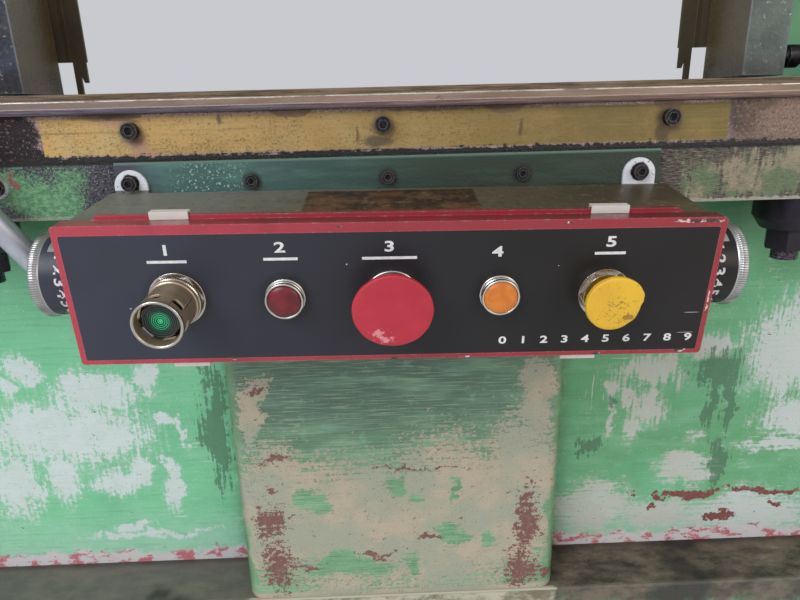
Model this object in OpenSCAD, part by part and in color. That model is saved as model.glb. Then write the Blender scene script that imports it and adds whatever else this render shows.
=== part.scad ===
// Straight-side mechanical stamping press with an operator station hung on
// the front of its bed. X is left-right, -Y is the operator's side, Z is up.
// The origin is on the floor under the centre of the press.

/* [Press] */
// Height of the bed's top face above the floor
bed_top = 865; // [800:5:950]
// Left-right width of the bed and crown
bed_w = 1500; // [1400:10:1600]
// Front-back depth of the bed's top flange
bed_d = 660; // [640:5:700]
// Thickness of the bed's top flange
flange_t = 51.6; // [45:0.1:60]
// Height of the opening between the bed and the crown
opening_h = 1100; // [1050:10:1200]
// Height of the crown
crown_h = 700; // [660:10:760]
// Stroke of the slide
stroke = 50; // [40:1:60]
// Centre-to-centre length of each pitman
pitman_l = 500; // [480:5:520]

/* [Bolster] */
// Left-right width of the bolster
bolster_w = 1016; // [960:1:1100]
// Thickness of the bolster
bolster_t = 40; // [36:1:60]
// Thickness of the die plate on the bolster
die_t = 17; // [12:0.5:25]
// Distance of the hold-down studs from the centre line
stud_x = 419; // [400:1:440]

/* [Operator station] */
// Width of the station's cover
cover_w = 508; // [480:1:540]
// Height of the station's cover
cover_h = 115.3; // [110:0.1:125]
// Depth from the cover's face to the back of the box
box_d = 104; // [95:1:106]
// Lean of the station: its front hangs lower than its back
droop = 6.2; // [0:0.1:8]
// Roll of the station, right end low
roll = 0.85; // [0:0.05:1]
// Height of the row of push buttons below the cover's top edge
row_z = -58.3; // [-60:0.1:-55]
// Travel of the big stop buttons
stop_travel = 5; // [4:0.5:6]
// Travel of the other buttons
btn_travel = 4; // [3:0.5:5]

/* [Flywheel and motor] */
// Radius of the flywheel
fly_r = 400; // [380:5:410]
// Height of the crankshaft above the floor
crank_z = 2320; // [2300:5:2340]
// Height of the motor shaft above the floor
motor_z = 2815; // [2810:1:2830]

/* [Hidden] */
$fn = 64;

zb = bed_top;
yf = -bed_d / 2;
zc = zb + opening_h;          // underside of the crown
zt = zc + crown_h;            // top of the crown
hw = bed_w / 2;
e = stroke / 2;               // crank throw
pin_z = crank_z + e;          // crankpin centre with the slide at the top
wrist_z = pin_z - pitman_l;
ledge_z = zb - 536;           // top of the bed's lower ledge
dz = zb + bolster_t + die_t;  // top of the die plate
s0 = 1277;                    // underside of the slide at the top of its stroke
s1 = s0 + 480;
rod_x = 675;
rod_y = 180;
st_y = yf - 111.8;            // cover's top front edge
st_z = zb - 43.3;
act_x = -168.4;
palm_x = -84.6;
stop_x = -1.4;
mute_x = 82.8;
top_x = 165;
ring_y = 56;
ring_z = -57;
ring_l = 43;
cover_t = 15.5;

module bx(x0, x1, y0, y1, z0, z1) { translate([x0, y0, z0]) cube([x1 - x0, y1 - y0, z1 - z0]); }
module cx(x0, x1, y, z, r) { translate([x0, y, z]) rotate([0, 90, 0]) cylinder(h = x1 - x0, r = r); }
module cy(x, y0, y1, z, r) { translate([x, y0, z]) rotate([-90, 0, 0]) cylinder(h = y1 - y0, r = r); }
module cz(x, y, z0, z1, r) { translate([x, y, z0]) cylinder(h = z1 - z0, r = r); }
module sx() { children(); mirror([1, 0, 0]) children(); }
module sy() { children(); mirror([0, 1, 0]) children(); }
module st() { translate([0, st_y, st_z]) rotate([droop, roll, 0]) children(); }
// Plate with rounded corners, standing in X and Z, from y0 to y1
module plate(x0, x1, z0, z1, r, y0, y1) {
  bx(x0 + r, x1 - r, y0, y1, z0, z1);
  bx(x0, x1, y0, y1, z0 + r, z1 - r);
  for (x = [x0 + r, x1 - r], z = [z0 + r, z1 - r]) cy(x, y0, y1, z, r);
}
// Corners of the two tangents that wrap two circles in the Y-Z plane
function tang(z1, r1, z2, r2) = let (d = z2 - z1, s = (r1 - r2) / d, c = sqrt(1 - s * s))
  [[r1 * c, z1 + r1 * s], [r2 * c, z2 + r2 * s], [-r2 * c, z2 + r2 * s], [-r1 * c, z1 + r1 * s]];
module loop(x0, x1, r1, r2) {
  cx(x0, x1, 0, crank_z, r1);
  cx(x0, x1, 0, motor_z, r2);
  translate([x0, 0, 0]) rotate([90, 0, 90]) linear_extrude(x1 - x0) polygon(tang(crank_z, r1, motor_z, r2));
}

// Lower part of the bed; its top is the ledge that runs round the foot of the wall
module bed_base() color("#6fb98a") difference() {
  bx(-hw, hw, -284, 284, 40, ledge_z);
  bx(-110, 110, -90, 90, 260, ledge_z + 1);
  bx(-110, 110, 80, 300, 260, ledge_z + 1);
  sx() bx(200, 560, -160, 160, 30, ledge_z + 1);
  sx() sy() {
    cz(rod_x, -rod_y, 200, ledge_z + 1, 26);
    bx(610, hw + 1, -250, -115, 130, 260);
    cz(650, -210, 30, 90, 12.5);
  }
}
// Upper part: wall, front column, end posts and the top flange
module bed() color("#6fb98a") difference() {
  union() {
    bx(-hw, hw, yf, -yf, zb - flange_t, zb);
    bx(-hw, hw, -208, 222, ledge_z, zb - flange_t + 1);
    bx(-170, 170, -282, -200, ledge_z, zb - flange_t + 1);
    bx(-190, 190, -262, -200, ledge_z, zb - flange_t + 1);
    sx() cz(170, -262, ledge_z, zb - flange_t + 1, 20);
    sx() bx(650, hw, -282, -200, ledge_z, zb - flange_t + 1);
  }
  bx(-110, 110, -90, 90, ledge_z - 1, zb + 1);
  bx(-110, 110, 80, 300, ledge_z - 1, 560);
  sx() bx(200, 560, -160, 160, ledge_z - 1, 700);
  sx() sy() {
    cz(rod_x, -rod_y, ledge_z - 1, zb + 1, 26);
    cz(stud_x, -270, zb - flange_t - 1, zb + 1, 14);
  }
  for (x = [-124.3, -2.2, 119.3]) cy(x, yf - 1, yf + 18, zb - 20.2, 4);
  cy(-231.2, yf - 1, yf + 18, zb - 19.6, 4);
  cy(225.5, yf - 1, yf + 18, zb - 21.2, 4);
  cy(-353.6, yf - 1, yf + 18, zb - 20.4, 5);
}

module levelling_feet() color("#3a3d3f") sx() sy() difference() {
  union() {
    bx(590, 745, -335, -165, 0, 18);
    cz(650, -210, 18, 40, 45);
    cz(650, -210, 40, 86, 12.5);
  }
  cz(700, -310, -1, 19, 9);
}

module upright(s) {
  difference() {
    bx(min(s * 600, s * hw), max(s * 600, s * hw), -240, 240, zb, zc);
    bx(-hw - 1, hw + 1, -125, 125, 960, 1190);
    sy() cz(s * rod_x, -rod_y, zb - 1, zc + 1, 26);
  }
}
module upright_left() color("#6fb98a") upright(-1);
module upright_right() color("#6fb98a") upright(1);

module crown() color("#6fb98a") difference() {
  bx(-hw, hw, -270, 270, zc, zt);
  bx(-640, 640, -230, 230, zc + 40, zt - 40);
  bx(-460, 460, -280, -220, 2140, 2520);
  sx() bx(245, 355, -85, 85, zc - 1, zc + 50);
  sx() cx(600, hw + 1, 0, crank_z, 80);
  sx() sy() cz(rod_x, -rod_y, zc - 1, zt + 1, 26);
  for (x = [-475, -237.5, 0, 237.5, 475], z = [2125, 2535]) cy(x, -275, -245, z, 6);
}

module tie_rods() color("#55585a") sx() sy() cz(rod_x, -rod_y, 140, zt + 82, 25);
module nut(x, y, z, h, r, ri) difference() {
  translate([x, y, z]) cylinder(h = h, r = r, $fn = 6);
  cz(x, y, z - 1, z + h + 1, ri);
}
module tie_rod_nuts() color("#4b4e50") sx() sy() {
  nut(rod_x, -rod_y, 205, 55, 45, 25);
  nut(rod_x, -rod_y, zt, 60, 45, 25);
}

module bolster_plate() color("#b3a09a") difference() {
  bx(-bolster_w / 2, bolster_w / 2, yf, -yf, zb, zb + bolster_t);
  cz(0, 0, zb - 1, zb + bolster_t + 1, 85);
  sx() sy() cz(stud_x, -270, zb - 1, zb + bolster_t + 1, 14);
  for (x = [-227.3, -5.1, 252.4]) cy(x, yf - 1, yf + 22, zb + 25.3, 5);
  sx() sy() cz(200, -150, zb + 12, zb + bolster_t + 1, 7);
}
module die_plate() color("#5b4740") difference() {
  union() {
    bx(-bolster_w / 2 - 4, bolster_w / 2 + 4, yf - 7, -yf + 7, zb + bolster_t, dz - 6);
    bx(-bolster_w / 2, bolster_w / 2, yf + 2, -yf - 2, dz - 6.5, dz);
    translate([-bolster_w / 2, 0, 0]) rotate([90, 0, 90]) linear_extrude(bolster_w)
      polygon([[yf - 7, dz - 6.01], [yf + 4, dz], [-yf - 4, dz], [-yf + 7, dz - 6.01]]);
  }
  cz(0, 0, zb, dz + 1, 85);
  sx() sy() cz(stud_x, -270, zb, dz + 1, 24);
  sx() sy() cz(200, -150, zb, dz + 1, 7);
}
module hold_down_studs() color("#26282a") sx() sy() cz(stud_x, -270, zb - 124, zb + bolster_t + 14, 12.7);
module hold_down_nuts() color("#1f2123") sx() sy() {
  difference() {
    union() {
      cz(stud_x, -270, zb - flange_t - 26, zb - flange_t, 36);
      translate([stud_x, -270, zb - flange_t - 39.5]) cylinder(h = 13.5, r1 = 27, r2 = 36);
    }
    cz(stud_x, -270, zb - flange_t - 40, zb - flange_t + 1, 12.7);
  }
  nut(stud_x, -270, zb - flange_t - 61, 21.5, 22, 12.7);
  nut(stud_x, -270, zb + bolster_t, 14, 22, 12.7);
}

module gib(s) {
  difference() {
    bx(min(s * 520.3, s * 600), max(s * 520.3, s * 600), -200, 200, 1210, 1810);
    bx(min(s * 500, s * 557), max(s * 500, s * 557), -150, 150, 1200, 1820);
  }
}
module gibs() color("#8c8377") { gib(-1); gib(1); }

module crown_cover() color("#77bd90") difference() {
  bx(-500, 500, -280, -270, 2100, 2560);
  for (x = [-475, -237.5, 0, 237.5, 475], z = [2125, 2535]) cy(x, -281, -269, z, 6);
}
module cover_screws() for (x = [-475, -237.5, 0, 237.5, 475], z = [2125, 2535]) {
  cy(x, -280, -248, z, 6);
  translate([x, -280, z]) rotate([90, 0, 0]) cylinder(h = 8, r = 11, $fn = 6);
}

module crank_bushes() color("#b08d4c") sx() difference() { cx(640, hw, 0, crank_z, 80); cx(639, hw + 1, 0, crank_z, 60); }

module flywheel_carrier() color("#6d7072") difference() {
  union() { cx(750, 772, 0, crank_z, 120); cx(770, 908, 0, crank_z, 75); }
  cx(749, 909, 0, crank_z, 50);
}
module flywheel() color("#44494b") difference() {
  union() {
    difference() { cx(785, 905, 0, crank_z, fly_r); cx(784, 820, 0, crank_z, fly_r - 60); cx(860, 906, 0, crank_z, fly_r - 60); }
    cx(785, 905, 0, crank_z, 115);
  }
  cx(784, 906, 0, crank_z, 75.05);
  for (a = [0:60:300]) translate([0, 0, crank_z]) rotate([a, 0, 0]) cx(784, 906, 0, 225, 50);
}
module clutch_drum() color("#5a5f61") difference() { cx(918, 974, 0, crank_z, 170); cx(917, 975, 0, crank_z, 45); }
module flywheel_guard() color("#c9a227") difference() {
  union() {
    loop(776, 1000, fly_r + 38, 125);
    sy() { bx(750, 778, -250, -215, 2580, 2625); bx(750, 778, -250, -215, 2020, 2065); }
  }
  loop(780, 996, fly_r + 34, 121);
  cx(770, 785, 0, crank_z, 130);
  cx(770, 785, 0, motor_z, 30);
}

module motor() color("#4a6b78") difference() {
  union() {
    cx(440, 720, 0, motor_z, 112);
    for (x = [470:15:680]) cx(x, x + 5, 0, motor_z, 120);
    cx(720, 732, 0, motor_z, 60);
    cx(415, 440, 0, motor_z, 105);
    bx(490, 680, -110, 110, zt, zt + 22);
    sy() bx(500, 670, -95, -70, zt, motor_z - 60);
    bx(520, 620, -165, -90, motor_z - 40, motor_z + 60);
  }
  cx(660, 733, 0, motor_z, 19.05);
  for (x = [505, 665]) sy() cz(x, -100, zt - 1, zt + 23, 6);
}
module motor_shaft() color("#9a9da0") cx(665, 885, 0, motor_z, 19);
module motor_pulley() color("#44494b") difference() {
  union() { cx(812, 882, 0, motor_z, 80); cx(808, 886, 0, motor_z, 45); }
  cx(807, 887, 0, motor_z, 19);
}
module drive_belt() color("#1c1c1c") difference() {
  loop(817, 877, fly_r + 10.3, 90.3);
  loop(816, 878, fly_r + 0.3, 80.3);
}

module balance_cylinder(s) {
  difference() {
    union() { cz(s * 110, 0, 1810, zc, 58); cz(s * 110, 0, zc - 14, zc, 78); }
    cz(s * 110, 0, 1832, zc - 20, 46);
    cz(s * 110, 0, 1809, 1840, 16);
  }
}
module balance_cylinder_left() color("#6e7476") balance_cylinder(-1);
module balance_cylinder_right() color("#6e7476") balance_cylinder(1);
module balance_rods() color("#a8abae") sx() {
  cz(110, 0, s1, 1900, 15.7);
  cz(110, 0, s1, s1 + 14, 26);
  cz(110, 0, 1896, 1922, 45.6);
}

module slide() color("#73ba8c") difference() {
  union() {
    bx(-518, 518, -168, 168, s0, s1);
    bx(-556.7, 556.7, -149.7, 149.7, s0, s1);
    sx() bx(220, 380, -115, 115, s1 - 1, 1905);
  }
  // T-slots in the lower face, front to back
  for (x = [-300, -100, 100, 300]) { bx(x - 9, x + 9, -169, 169, s0 - 1, s0 + 34); bx(x - 16, x + 16, -169, 169, s0 + 18, s0 + 34); }
  // cast pockets, front and back
  sx() sy() bx(40, 470, -169, -95, s0 + 90, s1 - 70);
  // pockets of the pitman's wrists
  sx() bx(249, 351, -73, 73, wrist_z - 51, 1906);
}

module crankshaft() color("#8d9194") union() {
  cx(-790, -750, 0, crank_z, 45);
  cx(-750, -640, 0, crank_z, 59.95);
  cx(-640, 640, 0, crank_z, 55);
  cx(640, 750, 0, crank_z, 59.95);
  cx(750, 990, 0, crank_z, 45);
  sx() { cx(620, 637, 0, crank_z, 74); cx(250, 350, 0, pin_z, 82); }
}
module pitman(s) {
  difference() {
    union() {
      cx(s * 300 - 46, s * 300 + 46, 0, pin_z, 122);
      bx(s * 300 - 30, s * 300 + 30, -42, 42, wrist_z, pin_z - 60);
      cx(s * 300 - 45, s * 300 + 45, 0, wrist_z, 40);
      // strap bolts' bosses
      sy() bx(s * 300 - 32, s * 300 + 32, -138, -95, pin_z - 30, pin_z + 30);
    }
    cx(s * 300 - 60, s * 300 + 60, 0, pin_z, 82.05);
  }
}
module pitman_left() color("#7d8184") pitman(-1);
module pitman_right() color("#7d8184") pitman(1);

module curtain_post(s) {
  x0 = min(s * 347, s * 388); x1 = max(s * 347, s * 388);
  difference() {
    union() {
      bx(x0, x1, yf + 60, yf + 137, dz + 3.5, dz + 660);
      bx(min(s * 380, s * 600), max(s * 380, s * 600), yf + 92, yf + 104, dz + 240, dz + 290);
      bx(min(s * 380, s * 600), max(s * 380, s * 600), yf + 92, yf + 104, dz + 560, dz + 610);
    }
    // lens groove on the inner side
    bx(min(s * 346, s * 350), max(s * 346, s * 350), yf + 88, yf + 109, dz + 130, dz + 640);
  }
}
module curtain_post_left() color("#2f3a33") curtain_post(-1);
module curtain_post_right() color("#2f3a33") curtain_post(1);
module curtain_bracket(s) {
  mirror([s < 0 ? 1 : 0, 0, 0]) {
    translate([0, yf + 153, 0]) rotate([90, 0, 0]) linear_extrude(3)
      polygon([[323, zb + 95], [324.7, zb + 95], [324.7, zb + 74], [329, zb + 74], [332, zb + 83], [332, dz + 2.5],
        [338.5, dz + 2.5], [338.5, zb + 95], [366, zb + 95], [366, dz + 640], [323, dz + 640]]);
    bx(340, 388, yf + 139, yf + 150, zb + 95, dz + 640);
    bx(372, 384, yf + 137, yf + 140, dz + 200, dz + 600);
  }
}
module curtain_bracket_left() color("#55493a") curtain_bracket(-1);
module curtain_bracket_right() color("#55493a") curtain_bracket(1);
// Black connector and clipped lead from each post to the upright
module curtain_leads() color("#18191a") sx() {
  cx(388, 400, yf + 82, dz + 22, 9);
  cx(400, 412, yf + 82, dz + 22, 11);
  cx(412, 430, yf + 82, dz + 22, 8);
  cx(430, 600, yf + 82 + 12, dz + 22, 6);
  cx(428, 434, yf + 82 + 5, dz + 22, 12);
}

module junction_box() color("#8f9294") difference() {
  union() {
    bx(-725, -595, -428, -240, 1110, 1360);
    bx(-729, -591, -436, -428, 1106, 1364);
  }
  bx(-722, -598, -427, -243, 1113, 1357);
}
cpts = [[-660, -65, 245], [-660, -65, 160], [-403.5, -57, 63], [-345.5, -20, -55], [-323, -6, -100], [-301, 26, -113], [-236, 30, -113], [-228, -12, -107]];
module seg(a, b, r) {
  d = b - a; h = norm(d);
  translate([a[0], yf + a[1], zb + a[2]]) rotate([0, acos(d[2] / h), atan2(d[1], d[0])]) cylinder(h = h, r = r);
}
module station_conduit() color("#b9bcc0") difference() {
  union() {
    for (i = [0:6]) seg(cpts[i], cpts[i + 1], 11.2);
    for (i = [1:6]) translate([cpts[i][0], yf + cpts[i][1], zb + cpts[i][2]]) sphere(r = 12);
  }
  st() bx(-252, 252, 0, box_d, -cover_h, 0);
}

module station_bracket() color("#2f5b4c") difference() {
  bx(-245, 245, yf - 6, yf, zb - 50, zb - 1.6);
  for (x = [-124.3, -2.2, 119.3]) cy(x, yf - 7, yf + 1, zb - 20.2, 4);
  cy(-231.2, yf - 7, yf + 1, zb - 19.6, 4);
  cy(225.5, yf - 7, yf + 1, zb - 21.2, 4);
}
// Socket head cap screw, head towards -Y with its underside at y
module shcs(x, y, z, r, hr, hl, len) {
  difference() {
    union() { cy(x, y - hl, y, z, hr); cy(x, y - 0.01, y + len, z, r); }
    translate([x, y - hl + hl * 0.6, z]) rotate([90, 0, 0]) cylinder(h = hl, r = hr * 0.56, $fn = 6);
  }
}
module screws() color("#1e1b1a") {
  cover_screws();
  flange_bolt();
  for (x = [-227.3, -5.1, 252.4]) shcs(x, yf, zb + 25.3, 5, 7.2, 7, 20);
  for (x = [-124.3, -2.2, 119.3]) shcs(x, yf - 6, zb - 20.2, 4, 5.6, 5, 22);
  shcs(-231.2, yf - 9, zb - 19.6, 4, 6.4, 6, 24);
  shcs(225.5, yf - 9, zb - 21.2, 4, 6.4, 6, 24);
}
module flange_bolt() {
  cy(-353.6, yf - 2.4, yf, zb - 20.4, 10.4);
  cy(-353.6, yf - 2.4, yf + 16, zb - 20.4, 5);
  translate([-353.6, yf - 2.4, zb - 20.4]) rotate([90, 0, 0]) cylinder(h = 4, r = 7.6, $fn = 6);
}

// Rise of the box's top towards its back, more at the right end
module box_rise() polyhedron(
  points = [[-250, 28, -0.6], [250, 28, -0.6], [250, box_d, 3.4], [-250, box_d, 0.8],
    [-250, 28, -3], [250, 28, -3], [250, box_d, -3], [-250, box_d, -3]],
  faces = [[2, 1, 0], [3, 2, 0], [4, 5, 6, 7], [0, 1, 5, 4], [1, 2, 6, 5], [2, 3, 7, 6], [3, 0, 4, 7]]);
module station_box() color("#4a4a44") {
  difference() {
    union() {
      st() bx(-250, 250, 2.4, box_d, -cover_h + 2, -0.6);
      st() box_rise();
      for (p = [[-231.2, -22.4], [225.5, -23.4]]) {
        cy(p[0], yf - 9, yf - 6, zb + p[1], 14.6);
        bx(p[0] - 14.6, p[0] + 14.6, yf - 9, yf - 6, zb - 40, zb + p[1]);
      }
    }
    st() bx(-248, 248, 1, box_d - 2, -cover_h + 4, -2.6);
    cy(-231.2, yf - 10, yf - 5, zb - 19.6, 4);
    cy(225.5, yf - 10, yf - 5, zb - 21.2, 4);
    // holes for the palm buttons in the ends
    st() cx(-251, -247, ring_y, ring_z, 15);
    st() cx(247, 251, ring_y, ring_z, 15);
  }
}
module station_cover() color("#8c2233") st() difference() {
  union() {
    plate(-cover_w / 2, cover_w / 2, -cover_h, 1.2, 3, 0, cover_t);
    // raised lip along the back edge, top, with sloping ends
    translate([0, cover_t + 4, 0]) rotate([90, 0, 0]) linear_extrude(4.5)
      polygon([[-230, -0.3], [-229.5, 1.2], [-225, 4.8], [222.5, 4.8], [226, 1.2], [226.5, -0.3]]);
  }
  bx(-251.5, 251.5, 2.4, cover_t + 1, -cover_h + 1.6, -0.4);
  plate(-249.4, 249.4, -111.4, -6.5, 1.5, -1, 0.9);
  for (x = [act_x, palm_x, stop_x, mute_x, top_x]) cy(x, -1, 4, row_z, 15);
}
module station_panel() color("#24252b") st() difference() {
  plate(-249.4, 249.4, -111.4, -6.5, 1.5, 0, 0.9);
  for (x = [act_x, palm_x, stop_x, mute_x, top_x]) cy(x, -1, 4, row_z, 15);
}
// Spring clip over the cover's lip, with its foot on the box
module top_clip(x) translate([x, 0, 0]) {
  bx(-14.7, 14.7, cover_t - 2, cover_t - 0.6, 1.4, 7.4);
  bx(-14.7, 14.7, cover_t - 2, cover_t + 5.5, 6, 7.4);
  bx(-14.7, 14.7, cover_t + 4.1, cover_t + 5.5, -0.5, 7.4);
  bx(-14.7, 14.7, cover_t + 4.1, cover_t + 12, -0.5, 0.8);
}
module low_clip(x) translate([x, 0, -cover_h]) mirror([0, 0, 1]) {
  bx(-14.6, 14.6, 7, 30, 5.2, 7);
  bx(-14.6, 14.6, 7, 8.6, 0.1, 7);
  bx(-14.6, 14.6, 28.2, 30, -2, 7);
  bx(-14.6, 14.6, 28.2, 40, -2, -0.4);
  cz(0, 35, -2, 2.4, 3.4);
}
module cover_clips() color("#c3c6ca") st() { top_clip(-170); top_clip(168); low_clip(-168); low_clip(154); }

module act_guard() color("#9b8a77") st() difference() {
  union() {
    cy(act_x, -47.5, -4.6, row_z, 18.2);
    cy(act_x, -47.5, -45.5, row_z, 18.6);
    cy(act_x, -9, -4.6, row_z, 19.6);
  }
  cy(act_x, -48.5, -14, row_z, 16.3);
  cy(act_x, -15, -4, row_z, 14);
  // oval slots all round, near the open end
  for (a = [-10:60:290]) translate([act_x, -37, row_z]) rotate([0, a, 0]) {
    bx(-2, 2, -3.2, 3.2, 10, 30);
    cz(-2, 0, 10, 30, 3.2);
    cz(2, 0, 10, 30, 3.2);
  }
}
module act_nut() color("#a9a39a") st() difference() {
  union() { cy(act_x, -1.6, 0, row_z, 21.9); translate([act_x, -1.6, row_z]) rotate([90, 0, 0]) cylinder(h = 3, r = 20.8, $fn = 6); cy(act_x, -0.2, 18, row_z, 14.8); }
  cy(act_x, -5, 19, row_z, 12);
}
module act_button() color("#2e8f5c") st() union() {
  cy(act_x, -40.5, -26, row_z, 14);
  cy(act_x, -26.5, 16, row_z, 11.7);
}
module bezel(x) difference() {
  union() { cy(x, -3.5, 0, row_z, 15.8); cy(x, -10, -3.4, row_z, 15); cy(x, -0.1, 22, row_z, 14.6); }
  cy(x, -11, -2, row_z, 13.1);
  cy(x, -3, 23, row_z, 9);
}
module lens(x) translate([x, 0, row_z]) rotate([90, 0, 0]) rotate_extrude()
  polygon([[0, 2], [13.1, 2], [13.1, 9], [12.2, 10.4], [10.2, 11.6], [7.2, 12.4], [3.6, 12.9], [0, 13]]);
module palm_light_bezel() color("#c8c8cc") st() bezel(palm_x);
module mute_light_bezel() color("#c8c8cc") st() bezel(mute_x);
module palm_light_lens() color("#7c1020") st() lens(palm_x);
module mute_light_lens() color("#e88a1c") st() lens(mute_x);

module collar(x, r) difference() {
  union() { cy(x, -5, 0, row_z, r); cy(x, -9, -4.9, row_z, r - 3); cy(x, -0.1, 20, row_z, 14.6); }
  cy(x, -10, 21, row_z, 11);
}
module stop_collar() color("#b9b3ab") st() collar(stop_x, 22);
module top_stop_collar() color("#b9b3ab") st() union() {
  collar(top_x, 20.5);
  difference() { translate([top_x, -5, row_z]) rotate([90, 0, 0]) cylinder(h = 3.5, r = 20, $fn = 6); cy(top_x, -10, 0, row_z, 11); }
}
// Flat head r with a thin rim and a conical back down to rb, its face l in front of the panel
module mushroom(x, r, rb, h, l) union() {
  translate([x, 0, row_z]) rotate([90, 0, 0]) rotate_extrude()
    polygon([[0, l - h], [rb, l - h], [r, l - 5], [r, l - 1.5], [r - 1.5, l], [0, l]]);
  cy(x, -l + h - 1, 16, row_z, 10.7);
}
module stop_button() color("#d3283a") st() mushroom(stop_x, 30.5, 21, 12.5, 28);
module top_stop_button() color("#e6c21d") st() mushroom(top_x, 22.2, 14, 12, 27);

module ring_guard(s) {
  a = s * 250; b = s * (250 + ring_l);
  difference() {
    union() {
      cx(min(a, b), max(a, b), ring_y, ring_z, 34);
      cx(min(s * (250 + ring_l - 7), b), max(s * (250 + ring_l - 7), b), ring_y, ring_z, 36.2);
    }
    cx(min(s * 256, b + s), max(s * 256, b + s), ring_y, ring_z, 29.5);
    cx(min(s * 249, s * 257), max(s * 249, s * 257), ring_y, ring_z, 12.5);
  }
}
module ring_guard_left() color("#b4b6b8") st() ring_guard(-1);
module ring_guard_right() color("#b4b6b8") st() ring_guard(1);
// Black plates that wrap the front of each ring guard
module ring_plates() color("#222328") st() sx() difference() {
  cx(253, 284.5, ring_y, ring_z, 34.8);
  cx(252, 285.5, ring_y, ring_z, 34);
  bx(250, 280, ring_y - 4, ring_y + 40, ring_z - 40, ring_z + 40);
  bx(250, 280, ring_y - 40, ring_y + 40, ring_z + 27, ring_z + 40);
  bx(250, 280, ring_y - 40, ring_y + 40, ring_z - 40, ring_z - 27);
}
module palm_button(s) union() {
  cx(min(s * 262, s * 280), max(s * 262, s * 280), ring_y, ring_z, 26.5);
  cx(min(s * 238, s * 263), max(s * 238, s * 263), ring_y, ring_z, 12.2);
}
module palm_button_left() color("#1f2023") st() palm_button(-1);
module palm_button_right() color("#1f2023") st() palm_button(1);
module contact_blocks() color("#3b4650") st() {
  for (x = [act_x, palm_x, stop_x, mute_x, top_x]) bx(x - 15, x + 15, 24, 60, row_z - 20, row_z + 20);
  for (s = [-1, 1]) bx(min(s * 200, s * 232), max(s * 200, s * 232), ring_y - 16, ring_y + 16, ring_z - 20, ring_z + 20);
}

bed();
bed_base();
levelling_feet();
upright_left();
upright_right();
crown();
tie_rods();
tie_rod_nuts();
bolster_plate();
die_plate();
hold_down_studs();
hold_down_nuts();
gibs();
crown_cover();
flywheel_carrier();
flywheel_guard();
motor();
drive_belt();
balance_cylinder_left();
balance_cylinder_right();
curtain_post_left();
curtain_post_right();
curtain_bracket_left();
curtain_bracket_right();
curtain_leads();
junction_box();
station_conduit();
station_bracket();
station_box();
station_cover();
station_panel();
cover_clips();
act_guard();
act_nut();
palm_light_bezel();
palm_light_lens();
mute_light_bezel();
mute_light_lens();
stop_collar();
top_stop_collar();
ring_guard_left();
ring_guard_right();
ring_plates();
contact_blocks();
act_button();
stop_button();
top_stop_button();
palm_button_left();
palm_button_right();
slide();
balance_rods();
crankshaft();
pitman_left();
pitman_right();
screws();
crank_bushes();
clutch_drum();
flywheel();
motor_shaft();
motor_pulley();
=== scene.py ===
"""Looks of a straight-side mechanical stamping press with a push-button station on the front of its bed."""
import math
import random

import bmesh
import bpy
from mathutils import Matrix, Vector


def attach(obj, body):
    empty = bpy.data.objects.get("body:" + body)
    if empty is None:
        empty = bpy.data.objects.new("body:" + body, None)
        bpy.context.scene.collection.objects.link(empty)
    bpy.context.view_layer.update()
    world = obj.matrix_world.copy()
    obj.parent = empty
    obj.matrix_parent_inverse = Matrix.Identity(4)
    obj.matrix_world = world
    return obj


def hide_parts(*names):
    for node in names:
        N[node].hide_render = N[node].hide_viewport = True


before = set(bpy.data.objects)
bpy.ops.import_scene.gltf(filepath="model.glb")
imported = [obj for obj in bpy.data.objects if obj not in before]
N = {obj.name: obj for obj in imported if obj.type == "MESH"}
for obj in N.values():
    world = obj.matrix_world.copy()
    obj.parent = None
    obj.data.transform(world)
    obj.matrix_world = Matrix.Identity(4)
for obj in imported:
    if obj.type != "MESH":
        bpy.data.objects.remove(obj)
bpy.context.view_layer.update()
rnd = random.Random(7)
rad = math.radians
scn = bpy.context.scene
scn.view_settings.view_transform = "Standard"

# ---------------------------------------------------------------- camera
yw, pt, rl = rad(-1.152), rad(17.5), rad(-1.495)
fwd = Vector((-math.sin(yw) * math.cos(pt), math.cos(yw) * math.cos(pt), -math.sin(pt)))
rgt = Vector((math.cos(yw), math.sin(yw), 0))
upv = rgt.cross(fwd)
cxv = rgt * math.cos(rl) + upv * math.sin(rl)
cyv = -rgt * math.sin(rl) + upv * math.cos(rl)
cam = bpy.data.objects.new("camera", bpy.data.cameras.new("camera"))
scn.collection.objects.link(cam)
cam.data.lens = 27.045
cam.data.sensor_width = 36
cam.data.clip_start = 0.01
cam.matrix_world = Matrix((
    (cxv.x, cyv.x, -fwd.x, -0.0053),
    (cxv.y, cyv.y, -fwd.y, -0.8867),
    (cxv.z, cyv.z, -fwd.z, 0.9018),
    (0, 0, 0, 1)))
scn.camera = cam

# ---------------------------------------------------------------- light and floor
world = bpy.data.worlds.new("world")
scn.world = world
world.use_nodes = True
world.node_tree.nodes["Background"].inputs[0].default_value = (0.93, 0.95, 1.0, 1)
world.node_tree.nodes["Background"].inputs[1].default_value = 0.62


def area(name, loc, at, size, power, col):
    d = bpy.data.lights.new(name, "AREA")
    d.shape = "SQUARE"
    d.size = size
    d.energy = power
    d.color = col
    o = bpy.data.objects.new(name, d)
    scn.collection.objects.link(o)
    o.location = loc
    o.rotation_euler = (Vector(at) - Vector(loc)).to_track_quat("-Z", "Y").to_euler()
    return o


area("key", (-2.6, -3.4, 3.6), (-0.1, -0.3, 0.8), 2.6, 150, (0.93, 0.97, 1.0))
area("fill", (3.0, -3.0, 2.2), (0.2, -0.3, 0.9), 2.4, 42, (1.0, 0.88, 0.74))
area("back", (1.5, 3.8, 3.8), (0, 0, 1.4), 3.0, 110, (1.0, 0.98, 0.95))

# ---------------------------------------------------------------- material kit


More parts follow.
